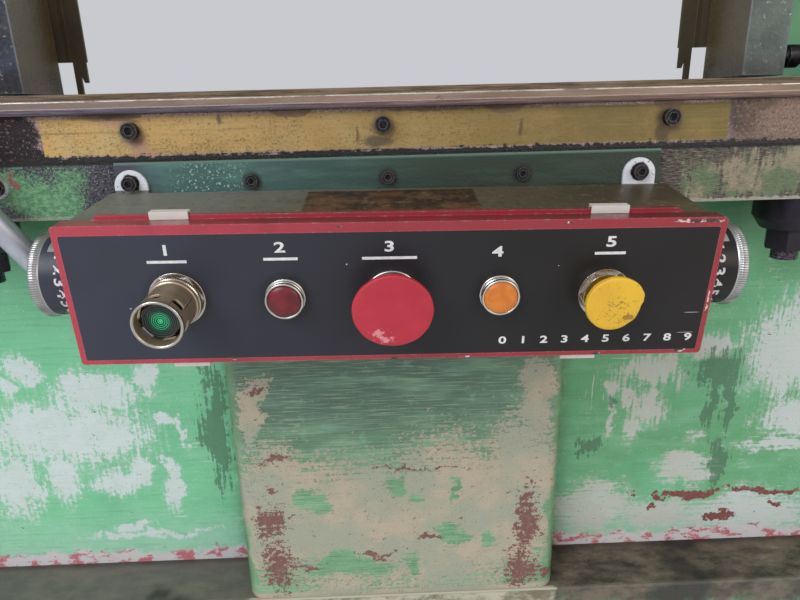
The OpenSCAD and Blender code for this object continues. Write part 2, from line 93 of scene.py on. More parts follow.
def C(r, g, b):
    """Linear colour from an 8-bit display colour."""
    f = lambda v: (v / 255 / 12.92) if v <= 10 else ((v / 255 + 0.055) / 1.055) ** 2.4
    return (f(r), f(g), f(b), 1.0)


ST_LOC = (0.0, -0.4418, 0.8217)
ST_ROT = (rad(6.2), rad(0.85), 0.0)
ST = Matrix.Translation(ST_LOC) @ Matrix.Rotation(ST_ROT[1], 4, "Y") @ Matrix.Rotation(ST_ROT[0], 4, "X")


class Mt:
    def __init__(s, name, rough=0.5, metal=0.0, local=False):
        s.m = bpy.data.materials.new(name)
        s.m.use_nodes = True
        s.nt = s.m.node_tree
        s.nt.nodes.clear()
        s.o = s.nt.nodes.new("ShaderNodeOutputMaterial")
        s.b = s.nt.nodes.new("ShaderNodeBsdfPrincipled")
        s.nt.links.new(s.b.outputs[0], s.o.inputs[0])
        s.b.inputs["Roughness"].default_value = rough
        s.b.inputs["Metallic"].default_value = metal
        s.p = s.nt.nodes.new("ShaderNodeTexCoord").outputs["Object"]
        if local:
            q = s.nt.nodes.new("ShaderNodeMapping")
            q.vector_type = "TEXTURE"
            q.inputs["Location"].default_value = ST_LOC
            q.inputs["Rotation"].default_value = ST_ROT
            s.nt.links.new(s.p, q.inputs["Vector"])
            s.p = q.outputs[0]
        p = s.nt.nodes.new("ShaderNodeSeparateXYZ")
        s.nt.links.new(s.p, p.inputs[0])
        s.x, s.y, s.z = p.outputs

    def put(s, sock, v):
        if isinstance(v, bpy.types.NodeSocket):
            s.nt.links.new(v, sock)
        else:
            sock.default_value = v

    def ma(s, op, a, b=0.0, c=0.0, clamp=False):
        n = s.nt.nodes.new("ShaderNodeMath")
        n.operation = op
        n.use_clamp = clamp
        s.put(n.inputs[0], a)
        s.put(n.inputs[1], b)
        s.put(n.inputs[2], c)
        return n.outputs[0]

    def vm(s, op, a, b=(0, 0, 0), c=(0, 0, 0), out=0):
        n = s.nt.nodes.new("ShaderNodeVectorMath")
        n.operation = op
        s.put(n.inputs[0], a)
        if op == "SCALE":
            s.put(n.inputs[3], b)
        elif op != "LENGTH":
            s.put(n.inputs[1], b)
            s.put(n.inputs[2], c)
        return n.outputs["Value"] if op == "LENGTH" else n.outputs[out]

    def comb(s, x, y=0.0, z=0.0):
        n = s.nt.nodes.new("ShaderNodeCombineXYZ")
        s.put(n.inputs[0], x)
        s.put(n.inputs[1], y)
        s.put(n.inputs[2], z)
        return n.outputs[0]

    def noise(s, sc, det=4.0, ro=0.55, di=0.0, vec=None, col=False):
        n = s.nt.nodes.new("ShaderNodeTexNoise")
        s.put(n.inputs["Vector"], s.p if vec is None else vec)
        n.inputs["Scale"].default_value = sc
        n.inputs["Detail"].default_value = det
        n.inputs["Roughness"].default_value = ro
        n.inputs["Distortion"].default_value = di
        return n.outputs["Color" if col else "Fac"]

    def vor(s, sc, vec=None, feature="F1", rnd_=1.0, out="Distance"):
        n = s.nt.nodes.new("ShaderNodeTexVoronoi")
        n.feature = feature
        s.put(n.inputs["Vector"], s.p if vec is None else vec)
        n.inputs["Scale"].default_value = sc
        n.inputs["Randomness"].default_value = rnd_
        return n.outputs[out]

    def ss(s, v, lo, hi, a=0.0, b=1.0, kind="SMOOTHSTEP"):
        n = s.nt.nodes.new("ShaderNodeMapRange")
        n.interpolation_type = kind
        s.put(n.inputs[0], v)
        if lo <= hi:
            lims = (lo, hi, a, b)
        else:
            lims = (hi, lo, b, a)
        for i, q in enumerate(lims):
            n.inputs[i + 1].default_value = q
        return n.outputs[0]

    def mix(s, f, a, b, mode="MIX"):
        n = s.nt.nodes.new("ShaderNodeMix")
        n.data_type = "RGBA"
        n.blend_type = mode
        s.put(n.inputs[0], f)
        s.put(n.inputs[6], a)
        s.put(n.inputs[7], b)
        return n.outputs[2]

    def mf(s, f, a, b):
        n = s.nt.nodes.new("ShaderNodeMix")
        n.data_type = "FLOAT"
        s.put(n.inputs[0], f)
        s.put(n.inputs[2], a)
        s.put(n.inputs[3], b)
        return n.outputs[0]

    def ramp(s, f, stops):
        n = s.nt.nodes.new("ShaderNodeValToRGB")
        s.put(n.inputs[0], f)
        e = n.color_ramp.elements
        while len(e) < len(stops):
            e.new(0.5)
        for q, (pos, c) in zip(e, stops):
            q.position = pos
            q.color = c
        return n.outputs[0]

    def str(s, kx, ky, kz, vec=None):
        return s.vm("MULTIPLY", s.p if vec is None else vec, (kx, ky, kz))

    def bump(s, h, dist, strength=1.0, normal=None):
        n = s.nt.nodes.new("ShaderNodeBump")
        n.inputs["Distance"].default_value = dist
        n.inputs["Strength"].default_value = strength
        s.put(n.inputs["Height"], h)
        if normal is not None:
            s.put(n.inputs["Normal"], normal)
        s.nt.links.new(n.outputs[0], s.b.inputs["Normal"])
        return n.outputs[0]

    def set(s, **kw):
        for k, v in kw.items():
            s.put(s.b.inputs[k.replace("_", " ")], v)
        return s

    def normal_z(s):
        g = s.nt.nodes.new("ShaderNodeNewGeometry")
        p = s.nt.nodes.new("ShaderNodeSeparateXYZ")
        s.nt.links.new(g.outputs["True Normal"], p.inputs[0])
        return p.outputs

    def blobs(s, lst, vec):
        """Least elliptic distance to a list of (cx, cz, rx, rz) in millimetres; 1 is the ellipse's edge."""
        d = None
        for cx_, cz_, rx, rz in lst:
            v = s.vm("MULTIPLY_ADD", vec, (1000 / rx, 1000 / rz, 0), (-cx_ / rx, -cz_ / rz, 0))
            q = s.vm("LENGTH", v)
            d = q if d is None else s.ma("MINIMUM", d, q)
        return d

    def band(s, v, lo, hi, soft):
        """1 between lo and hi."""
        return s.ma("MULTIPLY", s.ss(v, lo - soft, lo + soft), s.ss(v, hi + soft, hi - soft))

    def edge(s, radius=0.004):
        """Rounded edges, where the bevelled normal leaves the true one: a mask for worn edges and for painted edge
        highlights.
        """
        bv = s.nt.nodes.new("ShaderNodeBevel")
        bv.samples = 4
        bv.inputs["Radius"].default_value = radius
        g = s.nt.nodes.new("ShaderNodeNewGeometry")
        d = s.nt.nodes.new("ShaderNodeVectorMath")
        d.operation = "DOT_PRODUCT"
        s.nt.links.new(bv.outputs[0], d.inputs[0])
        s.nt.links.new(g.outputs["Normal"], d.inputs[1])
        return s.ss(d.outputs["Value"], 0.995, 0.85)


def sub(m, a, b):
    return m.ma("SUBTRACT", a, b)


def mul(m, a, b):
    return m.ma("MULTIPLY", a, b)


def mx(m, *a):
    r = a[0]
    for q in a[1:]:
        r = m.ma("MAXIMUM", r, q)
    return r


# ---------------------------------------------------------------- the bed's old paint
PALE_LEFT = [(-422, 524, 96, 38), (-369, 577, 46, 27), (-492, 455, 28, 42), (-424, 463, 21, 33), (-331, 470, 13, 24),
             (-293, 450, 10, 33), (-308, 597, 10, 20), (-288, 541, 17, 8), (-451, 609, 17, 17), (-476, 585, 10, 13),
             (-359, 454, 25, 21), (-350, 384, 21, 6), (-332, 372, 72, 4), (-262, 526, 5, 17)]
PALE_COL = [(-148, 443, 53, 92), (-59, 425, 95, 90), (60, 430, 102, 106), (142, 462, 45, 108), (158, 588, 22, 48),
            (-164, 582, 14, 35), (-154, 613, 15, 12)]
PALE_RIGHT = [(318, 583, 35, 22), (321, 528, 18, 20), (302, 502, 8, 20), (270, 518, 6, 20), (500, 610, 55, 52),
              (513, 516, 37, 26), (506, 476, 51, 7), (376, 452, 27, 14), (378, 432, 27, 12), (386, 487, 13, 7),
              (256, 383, 48, 32), (352, 376, 44, 19), (470, 365, 97, 30), (395, 616, 35, 13), (272, 563, 10, 11),
              (295, 552, 8, 14)]
GREEN_COL = [(-107, 466, 21, 22), (-69, 374, 58, 18), (14, 366, 12, 18), (1, 484, 14, 11), (22, 463, 9, 12),
             (63, 472, 5, 22), (59, 413, 16, 19), (104, 406, 10, 15), (188, 428, 7, 89), (-186, 380, 9, 45)]
RED_COL = [(-152, 435, 15, 21), (-147, 375, 14, 33), (154, 429, 13, 38), (148, 366, 16, 26), (175, 354, 10, 8),
           (18, 508, 44, 1.6), (-144, 522, 18, 3.3), (-148, 487, 6, 4), (-153, 613, 9, 4), (-25, 390, 24, 2.2),
           (39, 406, 14, 3), (-119, 375, 18, 2.2), (-137, 385, 10, 12)]
RED_WALL = [(390, 406, 57, 5.5), (498, 402, 49, 4.7), (426, 364, 25, 10), (507, 381, 6, 6), (338, 384, 7, 5),
            (349, 403, 11, 9)]
# the entry at x -228 is a painted shadow strip beside the column; the rest are oil
OIL_AND_SHADE_WALL = [(408, 585, 33, 22), (253, 483, 17, 16), (419, 450, 12, 37), (401, 541, 10, 43), (422, 540, 6, 40),
            (-228, 524, 16, 88), (273, 546, 6, 7)]


def bed_paint():
    m = Mt("bed_enamel", 0.45)
    xz = m.comb(m.x, m.z, 0.0)
    big = m.noise(16, 3, 0.6, vec=xz, col=True)
    fine = m.noise(75, 3, 0.65, vec=xz, col=True)
    w = m.vm("ADD", m.vm("SCALE", m.vm("SUBTRACT", big, (0.5, 0.5, 0.5)), 0.055),
             m.vm("SCALE", m.vm("SUBTRACT", fine, (0.5, 0.5, 0.5)), 0.022))
    xw = m.vm("ADD", xz, w)
    hor = m.noise(1, 4, 0.6, vec=m.str(16, 260, 1, xz))       # scraped sideways
    ver = m.noise(1, 4, 0.6, vec=m.str(240, 17, 1, xz))       # scraped up and down
    spk = m.noise(190, 4, 0.6, vec=xz)
    spk2 = m.noise(420, 3, 0.6, vec=xz)
    onfront = m.ss(m.y, -0.195, -0.2)
    incol = mul(m, m.ss(m.ma("ABSOLUTE", m.x), 0.1915, 0.1895), m.ss(m.z, 0.322, 0.325))
    nm = m.noise(34, 6, 0.72, vec=xz)
    nmc = sub(m, nm, 0.5)
    verc, horc, spkc = sub(m, ver, 0.5), sub(m, hor, 0.5), sub(m, spk, 0.5)
    spc2 = sub(m, spk2, 0.5)
    # old pale coat where the green has gone
    d1 = m.ma("ADD", m.blobs(PALE_LEFT, xw), m.ma("ADD", mul(m, verc, 1.7), m.ma("ADD", mul(m, nmc, 1.6), m.ma("ADD", mul(m, spkc, 1.8), mul(m, spc2, 0.8)))))
    pl = mx(m, m.ss(d1, 1.08, 0.94), mul(m, m.ss(d1, 1.55, 0.95), 0.4))
    d2 = m.blobs(PALE_COL, xw)
    d2 = m.ma("ADD", d2, m.ma("ADD", mul(m, horc, 1.5), m.ma("ADD", mul(m, spc2, 0.9), mul(m, spkc, 1.5))))
    keep = m.blobs(GREEN_COL, xw)
    keep = m.ma("ADD", keep, m.ma("ADD", mul(m, horc, 1.3), m.ma("ADD", mul(m, spc2, 0.9), mul(m, spkc, 1.5))))
    pc = mul(m, m.ss(d2, 1.12, 1.0), m.ss(keep, 0.82, 0.98))
    d3 = m.blobs(PALE_RIGHT, xw)
    upper = m.ss(m.z, 0.49, 0.51)
    strk = m.mf(upper, horc, verc)
    d3 = m.ma("ADD", d3, m.ma("ADD", mul(m, strk, 2.8), m.ma("ADD", mul(m, nmc, 1.7), m.ma("ADD", mul(m, spkc, 1.9), mul(m, spc2, 0.8)))))
    pr = mx(m, m.ss(d3, 1.08, 0.92), mul(m, m.ss(d3, 1.6, 0.95), 0.45))
    # loose flecks all over the front
    flk = m.ss(m.ma("ADD", spk2, mul(m, sub(m, big, 0.5), 0.25)), 0.655, 0.68)
    flk2 = m.ss(m.ma("ADD", hor, m.ma("ADD", mul(m, sub(m, big, 0.5), 0.35), mul(m, nmc, 0.5))), 0.68, 0.73)
    scr = mul(m, m.ss(ver, 0.66, 0.69), m.ma("MULTIPLY", m.ss(m.x, 0.2, 0.215), m.ss(m.x, 0.30, 0.26)))
    scr = mul(m, scr, m.ss(m.z, 0.52, 0.55))
    foot = mul(m, m.ss(m.ma("ADD", m.z, m.ma("ADD", mul(m, sub(m, big, 0.5), 0.02), mul(m, nmc, 0.05))), 0.351, 0.343),
               sub(m, 1.0, incol))
    onwall = mul(m, onfront, m.ss(m.z, 0.3285, 0.3295))
    pale = mx(m, mul(m, pl, m.ss(m.x, -0.19, -0.2)), mul(m, pc, incol), mul(m, pr, m.ss(m.x, 0.19, 0.2)), scr, foot,
              mul(m, flk, 0.9), mul(m, flk2, 0.8))
    colfoot = mul(m, incol, m.ss(m.ma("ADD", m.z, mul(m, sub(m, spk, 0.5), 0.012)), 0.338, 0.334))
    pale = mul(m, mx(m, pale, colfoot), onwall)
    # red-brown primer
    r1 = m.ma("ADD", m.blobs(RED_COL, xw), m.ma("ADD", mul(m, horc, 2.0), m.ma("ADD", mul(m, spc2, 2.6), mul(m, spkc, 4.0))))
    r1 = mul(m, m.ss(r1, 1.1, 0.9), incol)
    r2 = m.ma("ADD", m.blobs(RED_WALL, xw), m.ma("ADD", mul(m, nmc, 3.0), mul(m, spkc, 1.8)))
    r2 = mul(m, m.ss(r2, 1.05, 0.95), m.ss(m.x, 0.19, 0.2))
    rfoot = mul(m, foot, m.ss(m.noise(60, 5, 0.7, vec=m.str(0.6, 1, 1, xz)), 0.5, 0.56))
    rflk = mul(m, m.ss(m.noise(55, 5, 0.75, vec=xz), 0.69, 0.71), 0.9)
    red = mul(m, mx(m, r1, r2, rfoot, rflk), onwall)
    # general wear elsewhere on the bed
    gw = m.noise(7, 6, 0.72)
    gpale = mul(m, m.ss(gw, 0.655, 0.665), sub(m, 1.0, onwall))
    # colours
    tone = m.noise(5, 4, 0.6)
    green = m.mix(m.ss(m.x, -0.25, 0.3), C(122, 198, 152), C(100, 164, 116))
    green = m.mix(m.ss(tone, 0.35, 0.7), green, C(110, 184, 142))
    line = m.noise(1, 3, 0.6, vec=m.str(22, 700, 1, xz))      # fine brush lines across the column
    # the column's green darkens towards its top: partly its paint, partly a painted shadow of the station
    gcol = m.mix(m.ss(m.z, 0.6, 0.46), C(88, 116, 98), C(112, 158, 118))
    gcol = m.mix(mul(m, m.ss(line, 0.545, 0.61), 0.55), gcol, C(158, 176, 150))
    gcol = m.mix(mul(m, m.ss(line, 0.455, 0.39), 0.5), gcol, C(62, 88, 74))
    gcol = m.mix(mul(m, m.ss(spk2, 0.56, 0.64), 0.4), gcol, C(74, 100, 82))
    gcol = m.mix(mul(m, m.ss(m.ma("ADD", m.x, mul(m, nmc, 0.12)), 0.04, 0.16), 0.3), gcol, C(112, 150, 120))
    gcol = m.mix(mul(m, m.ss(m.ma("ABSOLUTE", m.x), 0.172, 0.186), 0.6), gcol, C(118, 156, 110))
    green = m.mix(mul(m, incol, onfront), green, gcol)
    wash = mul(m, sub(m, 1.0, incol), m.ss(m.ma("ADD", m.z, mul(m, nmc, 0.12)), 0.43, 0.335))
    wash = mul(m, wash, m.ss(m.z, 0.322, 0.326))
    green = m.mix(mul(m, wash, 0.62), green, C(176, 216, 196))
    smear = m.ss(m.noise(1, 3, 0.6, vec=m.str(9, 40, 1, xz)), 0.45, 0.8)
    green = m.mix(mul(m, smear, 0.4), green, C(156, 206, 174))
    green = m.mix(mul(m, m.ss(hor, 0.52, 0.3), 0.18), green, C(70, 105, 80))
    green = m.mix(mul(m, m.ss(nm, 0.56, 0.7), 0.3), green, C(150, 196, 168))
    pcol = m.mix(m.ss(m.x, -0.2, -0.19), C(202, 213, 212), m.mix(m.ss(m.noise(11, 4, 0.6, vec=xz), 0.42, 0.58), C(158, 160, 144), C(180, 166, 146)))
    pcol = m.mix(m.ss(m.x, 0.19, 0.2), pcol, C(188, 190, 180))
    pcol = m.mix(mul(m, m.ss(m.x, 0.36, 0.46), 0.8), pcol, C(200, 207, 208))
    pcol = m.mix(mul(m, m.ss(nm, 0.44, 0.56), 0.3), pcol, m.mix(incol, C(186, 204, 194), C(160, 160, 140)))
    pcol = m.mix(mul(m, m.ss(nm, 0.56, 0.66), 0.35), pcol, m.mix(incol, C(208, 208, 202), C(178, 158, 146)))
    pcol = m.mix(mul(m, m.ss(line, 0.54, 0.62), 0.3), pcol, m.mix(incol, C(172, 186, 178), C(164, 158, 136)))
    dots = mul(m, m.ss(m.noise(560, 3, 0.65, vec=xz), 0.55, 0.64), m.mf(incol, 0.16, 0.42))
    pcol = m.mix(dots, pcol, m.mix(m.ss(nm, 0.45, 0.55), C(134, 136, 108), C(136, 104, 92)))
    pcol = m.mix(foot, pcol, C(205, 200, 202))
    pinkish = m.mix(m.ss(m.z, 0.352, 0.345), C(124, 68, 64), C(196, 110, 122))
    rcol = m.mix(incol, pinkish, C(118, 78, 74))
    rcol = m.mix(mul(m, m.ss(spk, 0.45, 0.6), 0.3), rcol, C(150, 110, 105))
    col = m.mix(pale, green, pcol)
    col = m.mix(gpale, col, C(196, 196, 184))
    # dark chips and pin holes, densest in the pale coat
    chip = m.ss(m.ma("ADD", m.noise(150, 5, 0.7, vec=m.str(0.6, 1.0, 1.0, xz)), mul(m, pale, m.mf(incol, 0.03, 0.05))), 0.675, 0.70)
    chip = mul(m, chip, onwall)
    rim = m.ma("SUBTRACT", m.ss(d2, 1.16, 1.0), m.ss(d2, 1.0, 0.9), clamp=True)
    col = m.mix(mul(m, mul(m, mul(m, rim, incol), onwall), 0.2), col, C(96, 110, 88))
    col = m.mix(red, col, rcol)
    col = m.mix(mul(m, chip, 0.8), col, m.mix(m.ss(big, 0.47, 0.53), C(84, 78, 68), C(122, 74, 70)))
    # green left in the pores of the column's pale coat, and its scraped upper border
    pore = mul(m, mul(m, m.ss(m.ma("ADD", spk2, mul(m, nmc, 0.5)), 0.60, 0.66), incol), mul(m, pale, onwall))
    col = m.mix(mul(m, pore, 0.45), col, C(108, 138, 106))
    # oil and drips, and a painted shadow strip on the left wall beside the column
    oil_and_shade = m.ma("ADD", m.blobs(OIL_AND_SHADE_WALL, xw), m.ma("ADD", mul(m, sub(m, ver, 0.5), 2.6), mul(m, sub(m, spk, 0.5), 1.2)))
    oil_and_shade = mul(m, mul(m, m.ss(oil_and_shade, 1.1, 0.8), onwall), sub(m, 1.0, incol))
    col = m.mix(mul(m, oil_and_shade, 0.75), col, C(70, 108, 82))
    # painted shade, with some darker paint, in the corners beside the column and on its rounded edges; the ledge's
    # corner gathers dirt
    ax = m.ma("ABSOLUTE", m.x)
    corner_shade_and_paint = m.mf(m.ss(ax, 0.1905, 0.1915), m.ss(ax, 0.180, 0.19), m.ss(ax, 0.232, 0.2))
    corner_shade_and_paint = mul(m, mul(m, corner_shade_and_paint, onwall), m.ss(ax, 0.235, 0.2))
    corner_shade_and_paint = mul(m, corner_shade_and_paint, m.ss(nm, 0.3, 0.55))
    col = m.mix(mul(m, corner_shade_and_paint, 0.55), col, C(52, 84, 42))
    # painted shade under the flange's overhang, darkening the green towards the flange
    under = mul(m, m.ss(m.ma("ADD", m.z, mul(m, sub(m, big, 0.5), 0.06)), 0.7, 0.81), onfront)
    col = m.mix(mul(m, under, 0.5), col, C(70, 110, 74))
    # ledge top: brown dirt
    nz = m.normal_z()
    up = m.ss(nz[2], 0.5, 0.8)
    ledge = mul(m, mul(m, up, m.ss(m.z, 0.335, 0.333)), m.ss(m.z, 0.32, 0.322))
    dn = m.noise(30, 6, 0.75, vec=m.str(0.7, 1.4, 1))
    dirt = m.mix(m.ss(dn, 0.35, 0.65), C(50, 43, 37), C(112, 98, 84))
    dirt = m.mix(m.ss(m.x, -0.3, 0.2), m.mix(0.6, dirt, C(112, 110, 104)), dirt)
    dirt = m.mix(m.ss(tone, 0.54, 0.64), dirt, C(38, 34, 30))
    dirt = m.mix(mul(m, m.ss(dn, 0.62, 0.70), 0.6), dirt, C(150, 140, 128))
    back = m.ss(m.y, -0.222, -0.21)
    dirt = m.mix(mul(m, back, 0.6), dirt, C(34, 30, 27))
    col = m.mix(ledge, col, dirt)
    lip = mul(m, m.band(m.z, 0.3262, 0.3292, 0.0004), m.ss(m.y, -0.28, -0.2815))
    infoot = m.ss(m.ma("ABSOLUTE", m.ma("ADD", m.x, mul(m, nmc, 0.03))), 0.192, 0.186)
    col = m.mix(mul(m, mul(m, m.band(m.z, 0.3255, 0.3325, 0.0004), m.ss(m.y, -0.279, -0.2795)), sub(m, 1.0, infoot)), col, dirt)
    # the lip band: a pale bead before the column's foot, and along the rest of the ledge's front edge a faint painted
    # highlight
    col = m.mix(mul(m, lip, m.mf(infoot, 0.12, 0.9)), col, C(188, 180, 164))
    below = mul(m, m.ss(m.z, 0.3262, 0.325), m.ss(m.y, -0.28, -0.2815))
    bcol = m.mix(m.ss(nm, 0.46, 0.5), C(118, 176, 140), C(190, 186, 176))
    bcol = m.mix(m.ss(dn, 0.6, 0.62), bcol, C(116, 74, 68))
    bcol = m.mix(mul(m, m.ss(m.z, 0.27, 0.29), 0.95), bcol, m.mix(infoot, dirt, m.mix(m.ss(dn, 0.42, 0.6), C(186, 178, 160), C(120, 112, 92))))
    col = m.mix(mul(m, below, m.ss(m.ma("ADD", m.z, mul(m, nmc, 0.14)), 0.25, 0.31, 0.08, 1.0)), col, bcol)
    # the flange's front: black oily scratched grime over green
    fl = mul(m, m.ss(m.y, -0.325, -0.3285), m.ss(m.z, 0.8125, 0.8135))
    g1 = m.noise(1, 6, 0.7, vec=m.vm("MULTIPLY", m.vm("ADD", xz, m.vm("SCALE", fine, 0.004)), (300, 420, 1)))
    slant = m.comb(m.ma("ADD", m.x, m.z), m.ma("SUBTRACT", m.z, m.x), 0.0)
    g2 = m.noise(1, 5, 0.7, vec=m.vm("MULTIPLY", slant, (210, 620, 1)))
    g3 = m.noise(1, 5, 0.7, vec=m.str(150, 800, 1, xz))
    gx = m.mf(m.ss(m.x, 0.0, 0.2), g2, g3)
    grime = m.mix(m.ss(g1, 0.35, 0.65), C(34, 31, 38), C(84, 78, 90))
    grime = m.mix(m.ss(m.x, -0.1, 0.27), grime, m.mix(m.ss(g3, 0.38, 0.62), C(44, 38, 34), C(118, 106, 94)))
    grime = m.mix(m.ss(gx, 0.60, 0.68), grime, C(196, 192, 198))
    fk2 = mul(m, m.ss(m.noise(640, 3, 0.7, vec=xz), 0.60, 0.66), m.ss(m.x, 0.1, -0.1))
    grime = m.mix(mul(m, fk2, 0.85), grime, C(206, 206, 220))
    gpL = m.blobs([(-316, 836, 34, 24), (-340, 846, 22, 20), (-300, 824, 18, 14)], xw)
    gpR = m.blobs([(285, 830, 14, 26), (322, 836, 16, 20), (352, 828, 24, 24), (378, 842, 14, 26), (700, 840, 200, 60),
                   (-640, 840, 200, 60)], xw)
    gpL = m.ss(m.ma("ADD", gpL, m.ma("ADD", mul(m, nmc, 1.6), mul(m, sub(m, spk2, 0.5), 2.2))), 1.35, 0.6)
    gpR = m.ss(m.ma("ADD", gpR, m.ma("ADD", mul(m, verc, 2.8), m.ma("ADD", mul(m, nmc, 1.6), mul(m, spkc, 1.2)))), 1.3, 0.7)
    grime = m.mix(mul(m, gpL, 0.95), grime, m.mix(m.ss(spk, 0.4, 0.6), C(92, 140, 104), C(120, 176, 128)))
    beige = m.mix(m.ss(m.noise(34, 5, 0.6), 0.45, 0.6), C(108, 128, 92), C(170, 156, 130))
    grime = m.mix(mul(m, gpR, 0.75), grime, beige)
    redst = m.blobs([(-337, 856, 4, 9), (-331, 848, 4, 7)], xw)
    grime = m.mix(m.ss(redst, 1.3, 0.7), grime, C(160, 96, 96))
    lowed = m.ss(m.ma("ADD", m.z, mul(m, sub(m, spk, 0.5), 0.008)), 0.8172, 0.8155)
    grime = m.mix(mul(m, lowed, m.ss(m.x, -0.32, 0.2, 0.6, 0.85)), grime, C(176, 170, 158))
    seam = m.ss(m.ma("ADD", m.z, mul(m, sub(m, g1, 0.5), 0.004)), 0.8612, 0.863)
    grime = m.mix(seam, grime, C(20, 17, 17))
    col = m.mix(fl, col, grime)
    m.set(Base_Color=col)
    h = m.ma("ADD", mul(m, nm, 1.3), mul(m, spk, 0.5))
    h = m.mf(m.ss(m.z, 0.8125, 0.8135), h, mul(m, g1, 2.6))
    m.bump(h, 0.0011, 0.9)
    ro = m.mf(pale, 0.38, 0.58)
    ro = m.mf(oil_and_shade, ro, 0.22)
    ro = m.mf(fl, ro, m.ss(g1, 0.3, 0.7, 0.16, 0.5))
    ro = m.mf(ledge, ro, 0.62)
    m.set(Roughness=ro)
    return m.m


def press_paint(name, c1, c2, wear=0.66, edgew=0.6, rough=0.42, under=(196, 196, 184)):
    """Worn enamel over an old pale coat and primer, with oil runs."""
    m = Mt(name, rough)
    w = m.noise(6, 6, 0.7)
    e = m.edge(0.006)
    mott = m.noise(3.5, 4, 0.6)
    col = m.mix(m.ss(mott, 0.35, 0.65), C(*c1), C(*c2))
    streak = m.noise(1, 5, 0.6, vec=m.str(26, 26, 2.2))
    col = m.mix(mul(m, m.ss(streak, 0.52, 0.72), 0.35), col, C(*(int(v * 0.55) for v in c2)))
    f = m.noise(55, 6, 0.72)
    pale = m.ss(m.ma("ADD", w, m.ma("ADD", mul(m, sub(m, f, 0.5), 0.25), mul(m, e, edgew * 0.25))), wear, wear + 0.012)
    red = m.ss(m.ma("ADD", m.noise(9, 6, 0.75), mul(m, e, 0.12)), wear + 0.035, wear + 0.045)
    col = m.mix(pale, col, C(*under))
    col = m.mix(red, col, C(118, 74, 68))
    chip = m.ss(m.noise(120, 5, 0.7), 0.7, 0.72)
    col = m.mix(mul(m, chip, 0.7), col, C(70, 62, 56))
    grime = mul(m, m.ss(m.noise(2.2, 5, 0.65), 0.5, 0.72), 0.45)
    col = m.mix(grime, col, C(58, 62, 48))
    m.set(Base_Color=col, Roughness=m.mf(pale, m.ss(mott, 0.3, 0.7, rough - 0.1, rough + 0.12), 0.62))
    m.bump(f, 0.0006, 0.7)
    return m.m


def steel(name, c1, c2, rough=0.34, metal=0.9, brush=(4, 4, 260), stain=(90, 70, 55), stain_amt=0.4, bump=0.00012):
    """Machined or plated steel with brushing, stains and dull spots."""
    m = Mt(name, rough, metal)
    br = m.noise(1, 4, 0.6, vec=m.str(*brush))
    cl = m.noise(14, 6, 0.65)
    col = m.mix(br, C(*c1), C(*c2))
    col = m.mix(mul(m, m.ss(cl, 0.45, 0.7), stain_amt), col, C(*stain))
    m.set(Base_Color=col, Roughness=m.ma("ADD", m.ss(cl, 0.3, 0.75, rough - 0.08, rough + 0.22), mul(m, br, 0.1)))
    m.bump(m.ma("ADD", br, mul(m, m.noise(330, 4, 0.6), 0.6)), bump, 0.7)
    return m.m


def cast(name, c1, c2, rough=0.55, metal=0.35):
    m = Mt(name, rough, metal)
    g = m.noise(260, 4, 0.6)
    cl = m.noise(9, 5, 0.6)
    e = m.edge(0.003)
    col = m.mix(m.ss(cl, 0.35, 0.7), C(*c1), C(*c2))
    col = m.mix(mul(m, e, 0.6), col, C(*(min(255, int(v * 1.5)) for v in c2)))
    col = m.mix(mul(m, m.ss(m.noise(30, 6, 0.7), 0.6, 0.68), 0.5), col, C(74, 50, 36))
    m.set(Base_Color=col, Roughness=m.ss(cl, 0.3, 0.7, rough - 0.1, rough + 0.15))
    m.bump(m.ma("ADD", g, mul(m, cl, 0.5)), 0.0006, 0.6)
    return m.m


def oily_black(name, c1=(20, 18, 19), c2=(64, 58, 60), rough=0.28):
    m = Mt(name, rough, 0.55)
    g = m.noise(330, 5, 0.65)
    cl = m.noise(40, 5, 0.65)
    e = m.edge(0.0012)
    col = m.mix(m.ss(g, 0.4, 0.7), C(*c1), C(*c2))
    col = m.mix(mul(m, m.ss(cl, 0.55, 0.7), 0.5), col, C(62, 46, 36))
    col = m.mix(mul(m, e, 0.55), col, C(150, 146, 150))
    m.set(Base_Color=col, Roughness=m.ss(cl, 0.3, 0.7, rough - 0.1, rough + 0.2))
    m.bump(m.ma("ADD", g, cl), 0.0004, 0.6)
    return m.m


